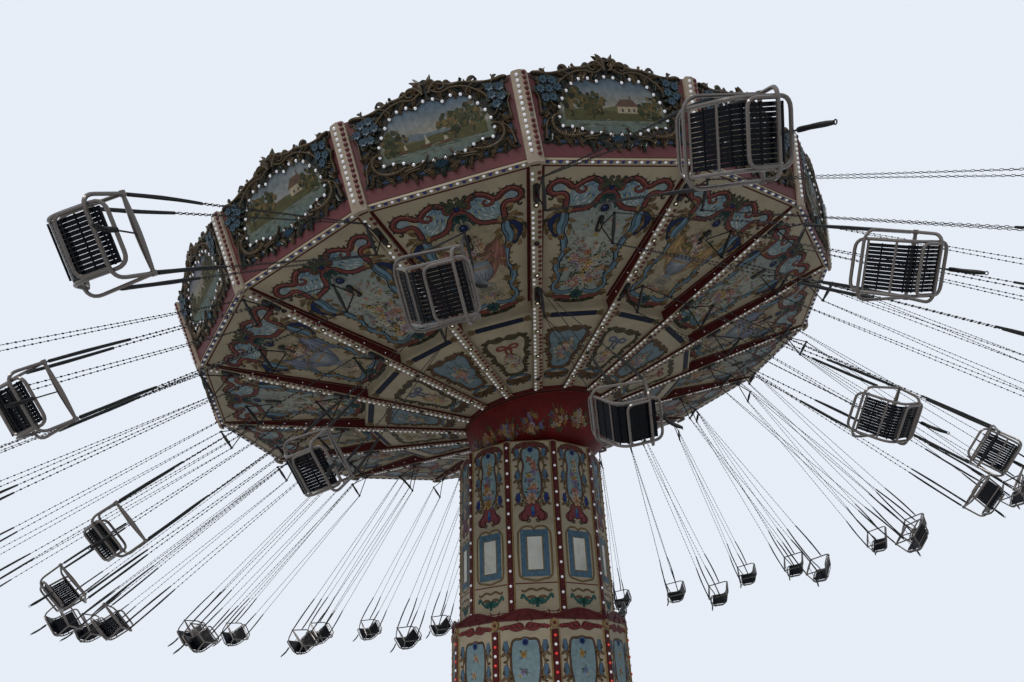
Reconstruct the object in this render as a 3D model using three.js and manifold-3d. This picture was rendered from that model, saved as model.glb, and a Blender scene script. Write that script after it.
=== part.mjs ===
// Chair swing ride: decorated drum and tower, lifting and tilting 16-sided canopy, 48 flying chairs.
// Millimetres, +Z up, origin on the ground on the tower axis, the near side faces -Y.
// Drawn raised, with the canopy tilted and the chairs flying.
import * as THREE from "three";
import { mergeVertices } from "three/addons/utils/BufferGeometryUtils.js";
import Module from "manifold-3d";

const wasm = await Module();
wasm.setup();

// driving dimensions
const BAYS = 16;
const RIM_R = 6250;              // corner radius of the canopy's lower rim
const RIM_H = 8015;              // height of the rim plane at the tilt pivot
const TILT = -8.82;              // about +Y, degrees: the +X side is high
const RIB_AZ = -2.59;            // azimuth of rib 0, from -Y towards -X
const RIB_W = 130;
const RIB_SLOPE = 0.223;
const PANEL_SLOPE = 0.1566;
const STEP_R = 3375;
const BOARD_H = 1268;
const BOARD_TOP_R = 6625;
// carved crest of a board: share of the half bay from its left corner, height above the corner
const CREST = [[-1, 0], [-0.72, -18], [-0.3, 102], [0, 340], [0.3, 102], [0.72, -18]];
const FACES = 10;
const TOWER_R = 1357;
const TOWER_AZ = 17.21;
const TOWER_TOP = 6034;
const TOWER_LOW = 2750;
const DRUM_R = 1529;
const DRUM_AZ = -9.99;
const DRUM_TOP = 3010;
const PLINTH_R = 1560;
const PLINTH_H = 200;
const MAST_R = 290;
const GAP = 0.3;
// rows of chairs: count offset, hanger radius, hanger height, chain length, fly angle, lead angle
const ROWS = [
  { name: "outer", half: 0, r: 5731, z: -171, len: 5488, fly: 53.0, lead: 11.0 },
  { name: "middle", half: 0.5, r: 5013, z: -226, len: 5319, fly: 49.9, lead: 10.5 },
  { name: "inner", half: 0, r: 3844, z: -592, len: 4969, fly: 45.1, lead: 7.5 },
];

const rad = (d) => (d * Math.PI) / 180;
const V = (x, y, z) => new THREE.Vector3(x, y, z);
const tilt = new THREE.Matrix4().makeRotationY(rad(TILT)).setPosition(0, 0, RIM_H);
const normal = V(0, 0, 1).applyAxisAngle(V(0, 1, 0), rad(TILT));

function toManifold(geo, matrix) {
  const g = geo.clone();
  if (matrix) g.applyMatrix4(matrix);
  for (const k of Object.keys(g.attributes)) {
    if (k !== "position") g.deleteAttribute(k);
  }
  const m = mergeVertices(g, 1e-3);
  const mesh = new wasm.Mesh({
    numProp: 3,
    vertProperties: new Float32Array(m.attributes.position.array),
    triVerts: new Uint32Array(m.index.array),
  });
  return new wasm.Manifold(mesh);
}

function union(list) {
  let out = list[0];
  for (let i = 1; i < list.length; i++) out = out.add(list[i]);
  return out;
}

function toGeometry(man) {
  const m = man.getMesh();
  const g = new THREE.BufferGeometry();
  g.setAttribute("position", new THREE.BufferAttribute(new Float32Array(m.vertProperties), 3));
  g.setIndex(new THREE.BufferAttribute(new Uint32Array(m.triVerts), 1));
  const flat = g.toNonIndexed();
  flat.computeVertexNormals();
  return flat;
}

// surface through rings of points, each ring closed, the rings in a closed cycle or capped
function rings(list, cyclic) {
  const n = list[0].length;
  const pos = [];
  for (const ring of list) {
    for (const p of ring) pos.push(p.x, p.y, p.z);
  }
  const idx = [];
  const last = cyclic ? list.length : list.length - 1;
  for (let i = 0; i < last; i++) {
    const a = i * n;
    const b = ((i + 1) % list.length) * n;
    for (let j = 0; j < n; j++) {
      const k = (j + 1) % n;
      idx.push(a + j, b + j, b + k, a + j, b + k, a + k);
    }
  }
  if (!cyclic) {
    const e = (list.length - 1) * n;
    for (let j = 1; j < n - 1; j++) {
      idx.push(0, j, j + 1);
      idx.push(e, e + j + 1, e + j);
    }
  }
  let vol = 0;
  for (let i = 0; i < idx.length; i += 3) {
    const [a, b, c] = [0, 1, 2].map((q) => new THREE.Vector3().fromArray(pos, idx[i + q] * 3));
    vol += a.dot(b.cross(c));
  }
  if (vol < 0) {
    for (let i = 0; i < idx.length; i += 3) [idx[i + 1], idx[i + 2]] = [idx[i + 2], idx[i + 1]];
  }
  const g = new THREE.BufferGeometry();
  g.setAttribute("position", new THREE.Float32BufferAttribute(pos, 3));
  g.setIndex(idx);
  return g;
}

// a closed profile of [radius, height] turned about Z in n flat facets, first corner at azimuth az
function turned(profile, n, az) {
  const list = [];
  for (let i = 0; i < n; i++) {
    const a = rad(az) + (2 * Math.PI * i) / n;
    list.push(profile.map(([r, z]) => V(-r * Math.sin(a), -r * Math.cos(a), z)));
  }
  return rings(list, true);
}

// a solid of n facets from the axis out: profile starts and ends on the axis
function disc(r, z0, z1, n, az) {
  const ring = (z) => {
    const out = [];
    for (let i = 0; i < n; i++) {
      const a = rad(az) + (2 * Math.PI * i) / n;
      out.push(V(-r * Math.sin(a), -r * Math.cos(a), z));
    }
    return out;
  };
  return rings([ring(z0), ring(z1)], false);
}

// a bar of n sides along a line of points, mitred at its corners
function bar(points, radius, n, side) {
  const d0 = points[1].clone().sub(points[0]).normalize();
  const u = side.clone().sub(d0.clone().multiplyScalar(side.dot(d0))).normalize();
  const v = d0.clone().cross(u);
  let ring = [];
  for (let j = 0; j < n; j++) {
    const a = (2 * Math.PI * (j + 0.5)) / n;
    const off = u.clone().multiplyScalar(radius * Math.cos(a)).addScaledVector(v, radius * Math.sin(a));
    ring.push(points[0].clone().add(off));
  }
  const list = [ring];
  for (let i = 1; i < points.length; i++) {
    const din = points[i].clone().sub(points[i - 1]).normalize();
    const dout = i + 1 < points.length ? points[i + 1].clone().sub(points[i]).normalize() : din;
    const t = din.clone().add(dout).normalize();
    ring = ring.map((p) => {
      const s = points[i].clone().sub(p).dot(t) / din.dot(t);
      return p.clone().addScaledVector(din, s);
    });
    list.push(ring);
  }
  return rings(list, false);
}

// a plate between two edges: mid line p to q, half width along w, thickness t
function plate(p, q, w, half, t) {
  const d = q.clone().sub(p).normalize();
  const m = d.clone().cross(w).normalize().multiplyScalar(t / 2);
  const e = w.clone().multiplyScalar(half);
  const ring = (c) => [
    c.clone().add(e).add(m),
    c.clone().sub(e).add(m),
    c.clone().sub(e).sub(m),
    c.clone().add(e).sub(m),
  ];
  return rings([ring(p), ring(q)], false);
}

const group = new THREE.Group();
group.name = "chair_swing_ride";
const STEEL = { roughness: 0.45, metalness: 0.7 };
const PAINT = { roughness: 0.55, metalness: 0.0 };

function put(name, geo, color, look) {
  const mesh = new THREE.Mesh(geo, new THREE.MeshStandardMaterial({ color, ...look }));
  mesh.name = name;
  group.add(mesh);
}

// base frame: plinth with the lifting mast
const plinth = union([
  toManifold(disc(PLINTH_R, 0, 60, FACES, DRUM_AZ)),
  toManifold(turned([
    [PLINTH_R - 90, 20], [PLINTH_R, 20], [PLINTH_R, PLINTH_H], [PLINTH_R - 90, PLINTH_H],
  ], FACES, DRUM_AZ)),
  toManifold(turned([[MAST_R - 28, 50], [MAST_R, 50], [MAST_R, 5925], [MAST_R - 28, 5925]], 16, 0)),
]);
put("base_frame_and_mast", toGeometry(plinth), 0x55575c, STEEL);

// drum wall and its scalloped crown
put("drum_wall", turned([
  [DRUM_R - 40, PLINTH_H + GAP], [DRUM_R, PLINTH_H + GAP], [DRUM_R, DRUM_TOP], [DRUM_R - 40, DRUM_TOP],
], FACES, DRUM_AZ), 0x6f93b5, PAINT);

function crownRing() {
  const n = 40;
  const list = [];
  for (let i = 0; i < n; i++) {
    const a = rad(DRUM_AZ) + (2 * Math.PI * i) / n;
    const lift = [0, 68, 94, 68][i % 4];
    const top = 3090 + lift;
    const out = 1541 + lift * 0.1;
    const at = (r, z) => V(-r * Math.sin(a), -r * Math.cos(a), z);
    list.push([at(1400, DRUM_TOP + GAP), at(1541, DRUM_TOP + GAP), at(out, top), at(1400, top - 30)]);
  }
  return rings(list, true);
}
put("drum_crown", crownRing(), 0x7a2323, PAINT);

// lift carriage: sleeve on the mast, bearing flange for the tower, fork and pin for the tilt
const PIN_R = 59;
const sleeve = union([
  toManifold(turned([[MAST_R + 0.7, 4600], [350, 4600], [350, 7760], [MAST_R + 0.7, 7760]], 16, 0)),
  toManifold(disc(350, 7750, 7800, 16, 0)),
  toManifold(turned([[325, 5370], [760, 5370], [760, 5400], [325, 5400]], 16, 0)),
  ...[-1, 1].map((s) => toManifold(new THREE.BoxGeometry(220, 80, 330),
    new THREE.Matrix4().makeTranslation(0, s * (150.5 + 40), 7790 + 165))),
  toManifold(bar([V(0, -230, RIM_H), V(0, 230, RIM_H)], PIN_R, 24, V(0, 0, 1))),
]);
put("lift_carriage", toGeometry(sleeve), 0x5d5f63, STEEL);

// tower shell on the carriage flange
const tower = union([
  toManifold(turned([
    [TOWER_R - 37, TOWER_LOW], [TOWER_R, TOWER_LOW], [TOWER_R, TOWER_TOP], [TOWER_R - 37, TOWER_TOP],
  ], FACES, TOWER_AZ)),
  toManifold(turned([[700, 5400.5], [1330, 5400.5], [1330, 5420.5], [700, 5420.5]], FACES, TOWER_AZ)),
]);
put("tower_shell", toGeometry(tower), 0xb9a98c, PAINT);

// tilt head: lug on the pin and turntable disc
const lug = toManifold(new THREE.BoxGeometry(240, 300, 270), new THREE.Matrix4().makeTranslation(0, 0, 15));
const bore = toManifold(bar([V(0, -200, 0), V(0, 200, 0)], 60.2, 24, V(0, 0, 1)));
const head = lug.subtract(bore).add(toManifold(disc(600, 145, 200, 32, 0)));
put("tilt_head", toGeometry(head).applyMatrix4(tilt), 0x66686c, STEEL);

// collar bowl below the rib ring
const COLLAR = [[1428, -1090.3], [1432, -1250], [1369, -1625], [1188, -1875], [750, -2144]];
const bowl = [...COLLAR, ...COLLAR.map(([r, z]) => [r - 14, z + (z < -1800 ? 8 : 0)]).reverse()];
put("collar", turned(bowl, 24, RIB_AZ).applyMatrix4(tilt), 0x7d1f22, PAINT);

// hangers: pivot, swing axis and chair frame of each chair
function hangers() {
  const out = [];
  for (const row of ROWS) {
    for (let k = 0; k < BAYS; k++) {
      const a = rad(RIB_AZ + 22.5 * (k + row.half));
      const local = V(-row.r * Math.sin(a), -row.r * Math.cos(a), row.z);
      const pivot = local.clone().applyMatrix4(tilt);
      const fly = rad(row.fly);
      const lead = rad(row.lead);
      const radial = V(-Math.sin(a), -Math.cos(a), 0);
      const tangent = V(Math.cos(a), -Math.sin(a), 0);
      const d = radial.multiplyScalar(Math.sin(fly) * Math.cos(lead))
        .addScaledVector(tangent, Math.sin(fly) * Math.sin(lead))
        .add(V(0, 0, -Math.cos(fly)));
      const f = normal.clone().cross(d).normalize();
      const u = d.clone().negate();
      const w = f.clone().cross(u).normalize();
      out.push({ row, k, pivot, d, f, u, w });
    }
  }
  return out;
}
const HANGERS = hangers();

// two cheeks that hold a chair's eye, from below the pivot up into what carries them
function bracket(h, up) {
  const side = h.f.clone();
  const along = normal.clone().cross(side).normalize();
  return [-1, 1].map((s) => {
    const c = h.pivot.clone().addScaledVector(side, s * (12.5 + 6));
    return toManifold(plate(c.clone().addScaledVector(normal, -26), c.clone().addScaledVector(normal, up),
      along, 32, 12));
  });
}

// ribs with their inner ring, top plate and hub tube, and the brackets below them
const line = (r) => -RIB_SLOPE * (RIM_R - r);
const outerPanel = (r) => -PANEL_SLOPE * (RIM_R - r) + 12;
const innerPanel = (r) => line(r) + 50;
const ribSide = [
  [1380, line(1380)], [6150, line(6150)], [6150, outerPanel(6150) - 3.3],
  [STEP_R + 5, outerPanel(STEP_R + 5) - 3.3],
  [STEP_R + 5, innerPanel(STEP_R + 5) - 3.3], [1380, innerPanel(1380) - 3.3],
];
function rib(k) {
  const a = rad(RIB_AZ + 22.5 * k);
  const shape = new THREE.Shape(ribSide.map(([r, z]) => new THREE.Vector2(r, z)));
  const g = new THREE.ExtrudeGeometry(shape, { depth: RIB_W, bevelEnabled: false });
  const m = new THREE.Matrix4().makeBasis(
    V(-Math.sin(a), -Math.cos(a), 0), V(0, 0, 1), V(-Math.cos(a), Math.sin(a), 0),
  );
  g.translate(0, 0, -RIB_W / 2);
  return toManifold(g, m);
}
const frame = union([
  toManifold(turned([[1330, -1090], [1442, -1090], [1442, -960], [1330, -960]], 16, RIB_AZ)),
  toManifold(turned([[620, -990], [1400, -990], [1400, -970], [620, -970]], 16, RIB_AZ)),
  toManifold(turned([[620, -985], [660, -985], [660, 225], [620, 225]], 16, RIB_AZ)),
  toManifold(turned([[200, 200.5], [640, 200.5], [640, 225], [200, 225]], 16, RIB_AZ)),
  ...Array.from({ length: BAYS }, (_, k) => rib(k)),
]);
const ribBrackets = HANGERS.filter((h) => h.row.half === 0).flatMap((h) => bracket(h, 75));
const frameWorld = union([toManifold(toGeometry(frame), tilt), ...ribBrackets]);
put("rib_frame", toGeometry(frameWorld), 0x8a3a33, PAINT);

// soffit: inner and outer panels with the step between them and the rim strip
const panels = toManifold(turned([
  [1450, innerPanel(1450)], [STEP_R, innerPanel(STEP_R)], [STEP_R, outerPanel(STEP_R)],
  [6180, outerPanel(6180)], [6180, 0], [6240, 0], [6240, 44.7], [6200, 44.7], [6200, 30],
  [STEP_R + 18, outerPanel(STEP_R) + 20], [STEP_R + 18, innerPanel(STEP_R) + 18],
  [1450, innerPanel(1450) + 18],
], BAYS, RIB_AZ), tilt);
const panelBrackets = HANGERS.filter((h) => h.row.half !== 0).flatMap((h) => bracket(h, 60));
put("soffit", toGeometry(union([panels, ...panelBrackets])), 0xc9bd9c, PAINT);

// rounding boards: a leaning flat board to each bay, its top edge cut to the carved crest
const LEAN = (BOARD_TOP_R - RIM_R) / (BOARD_H - 45);
function boards() {
  const list = [];
  for (let k = 0; k < BAYS; k++) {
    const corner = (j, r) => {
      const a = rad(RIB_AZ + 22.5 * j);
      return V(-r * Math.sin(a), -r * Math.cos(a), 0);
    };
    for (const [s, up] of CREST) {
      const at = (off, z) => {
        const r = RIM_R + off + (z - 45) * LEAN;
        return corner(k, r).lerp(corner(k + 1, r), (s + 1) / 2).add(V(0, 0, z));
      };
      list.push([at(0, 45), at(0, BOARD_H + up), at(-36, BOARD_H + up), at(-36, 45)]);
    }
  }
  return rings(list, true);
}
put("rounding_boards", boards().applyMatrix4(tilt), 0x5e1b1e, PAINT);

// corner pilasters, parallel to the boards, joined by a rail inside the boards and an arm over each corner
function pilaster(k) {
  const a = rad(RIB_AZ + 22.5 * k);
  const out = V(-Math.sin(a), -Math.cos(a), 0);
  const side = V(-Math.cos(a), Math.sin(a), 0);
  const at = (z) => out.clone().multiplyScalar(RIM_R + 28 + (z - 45) * LEAN).add(V(0, 0, z));
  const arm = (r) => out.clone().multiplyScalar(r).add(V(0, 0, BOARD_H + 15 + GAP));
  return union([
    toManifold(plate(at(12), at(1330), side, 115, 46)),
    toManifold(plate(arm(6500), arm(6660), side, 60, 30)),
  ]);
}
const posts = union([
  toManifold(turned([
    [6490, BOARD_H + GAP], [6583, BOARD_H + GAP], [6583, BOARD_H + 30], [6490, BOARD_H + 30],
  ], BAYS, RIB_AZ)),
  ...Array.from({ length: BAYS }, (_, k) => pilaster(k)),
]);
put("corner_pilasters", toGeometry(posts).applyMatrix4(tilt), 0xc8bb98, PAINT);

// roof: a shallow cone on a centre tube, closed by a round cap
const roof = union([
  toManifold(turned([
    [300, 225.3], [330, 225.3], [330, 1712], [6452, 880], [6462, 900], [300, 1752],
  ], BAYS, RIB_AZ)),
  toManifold(disc(420, 1725, 1775, BAYS, RIB_AZ)),
]);
put("roof", toGeometry(roof).applyMatrix4(tilt), 0x8b2a2a, PAINT);

// one flying chair: V rod with its eye, spreader, four chains, bent seat and back, arm hoop, bow below the seat
// and strap; the front chains end on the lap bar, the rear ones on the arm hoop
const SPREADER = 430;
function chair(h) {
  const P = (f, w, u) => h.pivot.clone().addScaledVector(h.f, f).addScaledVector(h.w, w)
    .addScaledVector(h.u, u - h.row.len);
  const L = h.row.len;
  const S = L - SPREADER;
  const bucket = [[270, -148, 273, -176], [-105, -192, -121, -222], [-285, 170, -310, 158]].map(
    ([f, u, fo, uo]) => [P(f, 210, u), P(f, -210, u), P(fo, -210, uo), P(fo, 210, uo)],
  );
  const parts = [
    bar([P(0, -214, S), P(0, 0, L), P(0, 214, S)], 17, 4, h.f),
    bar([P(0, -228, S), P(0, 228, S)], 24, 4, h.f),
    rings(bucket, false),
    bar([P(-262, -185, 105), P(-190, -272, 105), P(225, -258, 105), P(225, 258, 105), P(-190, 272, 105),
      P(-262, 185, 105)], 17, 3, h.u),
    bar([P(225, -258, 105), P(168, -245, -207), P(168, 245, -207), P(225, 258, 105)], 15, 3, h.f),
    bar([P(225, 0, 103), P(360, 0, -430)], 15, 3, h.w),
  ];
  for (const s of [-1, 1]) {
    parts.push(bar([P(4, s * 214, S), P(225, s * 255, 107)], 13, 3, h.w));
    parts.push(bar([P(-4, s * 214, S), P(-60, s * 266, 107)], 13, 3, h.w));
  }
  return toGeometry(union(parts.map((g) => toManifold(g))));
}
for (const h of HANGERS) {
  put(`chair_${h.row.name}_${String(h.k + 1).padStart(2, "0")}`, chair(h), 0x4a443e, STEEL);
}

export default group;
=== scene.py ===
"""Looks of the chair swing ride: lamps, carving, painted work, mirrors, tubular chairs and chains."""
import math

import bpy
import numpy as np
from mathutils import Matrix


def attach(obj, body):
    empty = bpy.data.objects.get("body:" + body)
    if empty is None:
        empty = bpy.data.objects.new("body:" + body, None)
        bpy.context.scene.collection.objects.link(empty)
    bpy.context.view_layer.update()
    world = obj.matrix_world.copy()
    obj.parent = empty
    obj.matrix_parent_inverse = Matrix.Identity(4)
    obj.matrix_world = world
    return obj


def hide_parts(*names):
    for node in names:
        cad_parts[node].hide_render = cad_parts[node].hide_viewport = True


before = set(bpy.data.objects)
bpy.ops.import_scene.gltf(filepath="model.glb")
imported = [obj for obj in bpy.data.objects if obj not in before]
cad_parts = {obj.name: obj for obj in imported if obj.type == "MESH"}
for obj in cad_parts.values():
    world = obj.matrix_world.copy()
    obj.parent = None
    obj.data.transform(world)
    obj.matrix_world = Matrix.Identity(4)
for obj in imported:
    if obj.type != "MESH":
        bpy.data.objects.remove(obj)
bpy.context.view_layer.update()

# sizes of the ride in metres, as in the part's source; _R is a distance from the axis, _AZ an azimuth
BAYS = 16
BAY = math.radians(22.5)
RIM_R = 6.250
RIM_H = 8.015
TILT = math.radians(-8.82)
RIB_AZ = math.radians(-2.59)
RIB_SLOPE = 0.223
PANEL_SLOPE = 0.1566
BOARD_H = 1.268
LEAN = 0.375 / 1.223
FACES = 10
FACE = math.radians(36)
TOWER_R = 1.357
TOWER_AZ = math.radians(17.21)
DRUM_R = 1.529
DRUM_AZ = math.radians(-9.99)
CHORD = math.cos(BAY / 2)
# rows of chairs: count offset, hanger radius, hanger height, chain length, fly angle, lead angle
ROWS = {
    "outer": (0.0, 5.731, -0.171, 5.488, 53.0, 11.0),
    "middle": (0.5, 5.013, -0.226, 5.319, 49.9, 10.5),
    "inner": (0.0, 3.844, -0.592, 4.969, 45.1, 7.5),
}
SPREADER = 0.430
# chairs nearer to the camera than this level line have real links in their chains
NEAR_Y = -8.6
# half widths of the plates under the ribs and of the boards; where the lamps and the line of the rim are
PLATE_HALF = 0.088
BOARD_HALF = 1.2925
RIM_LAMP_R = 6.210
RIM_LINE_R = 6.236
# camera: eye point, pitch, yaw and roll in degrees, focal length and picture width in pixels
EYE = (0.0, -13.041, 1.600)
LOOK = (28.92, -1.09, -2.31)
FOCAL = 692.02
PHOTO_W = 1024.0

scene = bpy.context.scene


def unit(v):
    """Each row of v over its own length."""
    v = np.asarray(v, float)
    return v / np.linalg.norm(v, axis=-1, keepdims=True)


# camera, sky and floor

def set_camera():
    """Camera from its eye point, pitch, yaw and roll: columns are right, up and minus forward."""
    pitch, yaw, roll = np.radians(LOOK)
    forward = np.array([math.sin(yaw) * math.cos(pitch), math.cos(yaw) * math.cos(pitch), math.sin(pitch)])
    right = np.array([math.cos(yaw), -math.sin(yaw), 0.0])
    up = np.cross(right, forward)
    x = math.cos(roll) * right + math.sin(roll) * up
    y = -math.sin(roll) * right + math.cos(roll) * up
    cam = bpy.data.objects.new("camera", bpy.data.cameras.new("camera"))
    m = Matrix.Identity(4)
    for i in range(3):
        m[i][0], m[i][1], m[i][2] = x[i], y[i], -forward[i]
    m[0][3], m[1][3], m[2][3] = EYE
    cam.matrix_world = m
    cam.data.sensor_width = 36.0
    cam.data.lens = FOCAL * cam.data.sensor_width / PHOTO_W
    cam.data.clip_end = 300.0
    scene.collection.objects.link(cam)
    scene.camera = cam


set_camera()


def new_material(name):
    m = bpy.data.materials.new(name)
    m.use_nodes = True
    return m, m.node_tree, m.node_tree.nodes["Principled BSDF"]


def link(tree, a, a_out, b, b_in):
    tree.links.new(a.outputs[a_out], b.inputs[b_in])


def node(tree, kind, **values):
    """A shader node with its settings: a name of a socket sets the socket, any other name the node."""
    n = tree.nodes.new("ShaderNode" + kind)
    for key, value in values.items():
        sock = key.replace("_", " ")
        if sock in n.inputs.keys():
            n.inputs[sock].default_value = value
        else:
            setattr(n, key, value)
    return n


def noise(tree, coords, scale, detail=4.0, rough=0.55, stretch=(1, 1, 1)):
    """Noise on the given coordinates, its cells stretched by a Mapping node."""
    mp = node(tree, "Mapping")
    mp.inputs["Scale"].default_value = stretch
    link(tree, coords[0], coords[1], mp, "Vector")
    n = node(tree, "TexNoise", Scale=scale, Detail=detail, Roughness=rough)
    link(tree, mp, "Vector", n, "Vector")
    return n


def span(tree, src, src_out, low, high, a=0.0, b=1.0):
    """Brings a value from the range low..high to a..b."""
    r = node(tree, "MapRange")
    r.inputs["From Min"].default_value = low
    r.inputs["From Max"].default_value = high
    r.inputs["To Min"].default_value = a
    r.inputs["To Max"].default_value = b
    link(tree, src, src_out, r, "Value")
    return r


def blend_rgb(tree, fac, a, b, mode="MIX"):
    """Colour a turned to colour b by a factor; each is a (node, socket) pair or a plain value."""
    mx = node(tree, "MixRGB", blend_type=mode)
    for sock, value in (("Fac", fac), ("Color1", a), ("Color2", b)):
        if isinstance(value, tuple) and hasattr(value[0], "outputs"):
            link(tree, value[0], value[1], mx, sock)
        elif sock == "Fac":
            mx.inputs[sock].default_value = value
        else:
            mx.inputs[sock].default_value = (*value, 1.0)
    return mx


def finish_of(name, base, rough=0.5, metal=0.0, spread=0.12, scale=3.0, stretch=(1, 1, 1), dirt=0.25,
              dirt_tint=(0.10, 0.08, 0.06), bump=0.15, bump_scale=60.0, coat=0.0, tinted=False, spec=0.5, worn=None):
    """Painted or bare surface: base colour (or the piece's own tint) varied by broad noise, darkened by patches of
    dirt, with roughness from finer noise and a small bump."""
    m, t, shader = new_material(name)
    co = (node(t, "TexCoord"), "Object")
    broad = noise(t, co, scale, 5.0, 0.6, stretch)
    fine = noise(t, co, bump_scale, 3.0, 0.6, stretch)
    if tinted:
        paint = (node(t, "Attribute", attribute_name="tint"), "Color")
    else:
        paint = base
    light = span(t, broad, "Fac", 0.3, 0.7, 1.0 - spread, 1.0 + spread)
    grey = node(t, "CombineColor")
    for channel in ("Red", "Green", "Blue"):
        link(t, light, "Result", grey, channel)
    varied = blend_rgb(t, 1.0, paint, (grey, "Color"), "MULTIPLY")
    patches = noise(t, co, scale * 2.7, 6.0, 0.65, stretch)
    where = span(t, patches, "Fac", 0.48, 0.78, 0.0, dirt)
    soiled = blend_rgb(t, (where, "Result"), (varied, "Color"), dirt_tint)
    last = soiled
    if worn is not None:
        chips = span(t, noise(t, co, scale * 9.0, 8.0, 0.7), "Fac", 0.66, 0.70, 0.0, 0.8)
        last = blend_rgb(t, (chips, "Result"), (soiled, "Color"), worn)
    link(t, last, "Color", shader, "Base Color")
    gloss = span(t, fine, "Fac", 0.3, 0.7, max(0.03, rough - 0.10), min(1.0, rough + 0.10))
    link(t, gloss, "Result", shader, "Roughness")
    if bump:
        b = node(t, "Bump", Strength=bump, Distance=0.002)
        link(t, fine, "Fac", b, "Height")
        link(t, b, "Normal", shader, "Normal")
    shader.inputs["Metallic"].default_value = metal
    shader.inputs["Coat Weight"].default_value = coat
    shader.inputs["Specular IOR Level"].default_value = spec
    return m


CREAM = (0.42, 0.355, 0.25)
DARK_RED = (0.095, 0.013, 0.014)
MAROON = (0.155, 0.036, 0.040)
INK = (0.012, 0.012, 0.014)
DEEP_BLUE = (0.012, 0.022, 0.085)
GOLD = (0.30, 0.19, 0.075)
TEAL = (0.03, 0.13, 0.11)

MATS = {
    "cream": finish_of("cream_paint", CREAM, 0.45, spread=0.10, scale=1.3, stretch=(1, 1, 2.5), dirt=0.30,
                       dirt_tint=(0.17, 0.13, 0.09), spec=0.22),
    "tinted": finish_of("brushed_paint", CREAM, 0.50, spread=0.22, scale=14.0, dirt=0.25, bump=0.25, bump_scale=150.0,
                        tinted=True, spec=0.12),
    "carved": finish_of("carved_paint", CREAM, 0.36, spread=0.35, scale=26.0, dirt=0.45, dirt_tint=(0.02, 0.02, 0.018),
                        bump=0.4, bump_scale=220.0, tinted=True, coat=0.08, spec=0.35),
    "board": finish_of("maroon_board_paint", MAROON, 0.42, spread=0.16, scale=1.7, stretch=(1, 1, 3), dirt=0.30,
                       dirt_tint=(0.10, 0.045, 0.04), bump=0.2, bump_scale=40.0),
    "dark_red": finish_of("dark_red_paint", DARK_RED, 0.38, spread=0.2, scale=2.2, dirt=0.2,
                          dirt_tint=(0.05, 0.02, 0.018), spec=0.2),
    "collar": finish_of("bowl_red_paint", (0.135, 0.010, 0.010), 0.42, spread=0.34, scale=2.6, dirt=0.4,
                        dirt_tint=(0.035, 0.005, 0.005), spec=0.16),
    "gilt": finish_of("old_gilding", GOLD, 0.38, metal=0.35, spread=0.3, scale=22.0, dirt=0.5,
                      dirt_tint=(0.05, 0.03, 0.015), bump=0.3),
    "black": finish_of("black_paint", (0.010, 0.010, 0.011), 0.40, spread=0.2, scale=20.0, dirt=0.2,
                       dirt_tint=(0.03, 0.03, 0.03)),
    "tube": finish_of("taupe_tube_paint", (0.205, 0.176, 0.162), 0.26, metal=0.3, spread=0.08, scale=2.5, dirt=0.22,
                      dirt_tint=(0.10, 0.08, 0.065), bump=0.02, coat=0.8),
    "chain": finish_of("chain_steel", (0.045, 0.044, 0.045), 0.42, metal=0.55, spread=0.3, scale=30.0, dirt=0.3,
                       dirt_tint=(0.03, 0.02, 0.015)),
    "rubber": finish_of("black_rubber", (0.008, 0.008, 0.009), 0.50, spread=0.25, scale=30.0, dirt=0.2,
                        dirt_tint=(0.05, 0.05, 0.05), bump=0.5, bump_scale=90.0),
    "slat": finish_of("glossy_black_slat", (0.004, 0.005, 0.010), 0.22, spread=0.2, scale=25.0, dirt=0.06,
                      dirt_tint=(0.02, 0.02, 0.03), bump=0.30, bump_scale=70.0, spec=0.2),
    "steel": finish_of("machine_grey_paint", (0.17, 0.175, 0.19), 0.42, metal=0.2, spread=0.14, scale=4.0, dirt=0.4,
                       worn=(0.3, 0.29, 0.28)),
}


def glass_of(name, tint, glow=0.0, rough=0.10, coat=1.0):
    """Lamp glass: coloured, coated, a little lighter where faint noise says so, with a weak glow if it is lit."""
    m, t, shader = new_material(name)
    co = (node(t, "TexCoord"), "Object")
    n = noise(t, co, 9.0, 2.0)
    low = tuple(c * 0.72 for c in tint)
    col = blend_rgb(t, (span(t, n, "Fac", 0.35, 0.65), "Result"), low, tint)
    link(t, col, "Color", shader, "Base Color")
    shader.inputs["Roughness"].default_value = rough
    shader.inputs["Coat Weight"].default_value = coat
    shader.inputs["Coat Roughness"].default_value = 0.04
    if glow:
        shader.inputs["Emission Color"].default_value = (*tint, 1.0)
        shader.inputs["Emission Strength"].default_value = glow
    return m


MATS["pilaster"] = finish_of("pilaster_cream_paint", (0.43, 0.345, 0.265), 0.42, spread=0.12, scale=1.5,
                             stretch=(1, 1, 3), dirt=0.35, dirt_tint=(0.20, 0.16, 0.13), spec=0.3)
MATS["lamp_white"] = glass_of("white_lamp_glass", (0.88, 0.90, 0.95), 0.22)
MATS["lamp_red"] = glass_of("dark_red_lamp_glass", (0.13, 0.005, 0.009), 0.0, 0.35, 0.1)
MATS["lamp_scarlet"] = glass_of("scarlet_lamp_glass", (0.80, 0.03, 0.02), 0.35)
MATS["lamp_blue"] = glass_of("blue_lamp_glass", (0.018, 0.032, 0.20), 0.04, 0.30, 0.15)
MATS["mirror"] = finish_of("old_mirror", (.62, .60, .52), 0.10, metal=0.9, spread=0.10, scale=3.0, dirt=0.35,
                           dirt_tint=(.25, .22, .16), bump=0.02)
MATS["lamp_warm"] = glass_of("warm_spot_glass", (1.0, 0.84, 0.62), 0.65)


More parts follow.
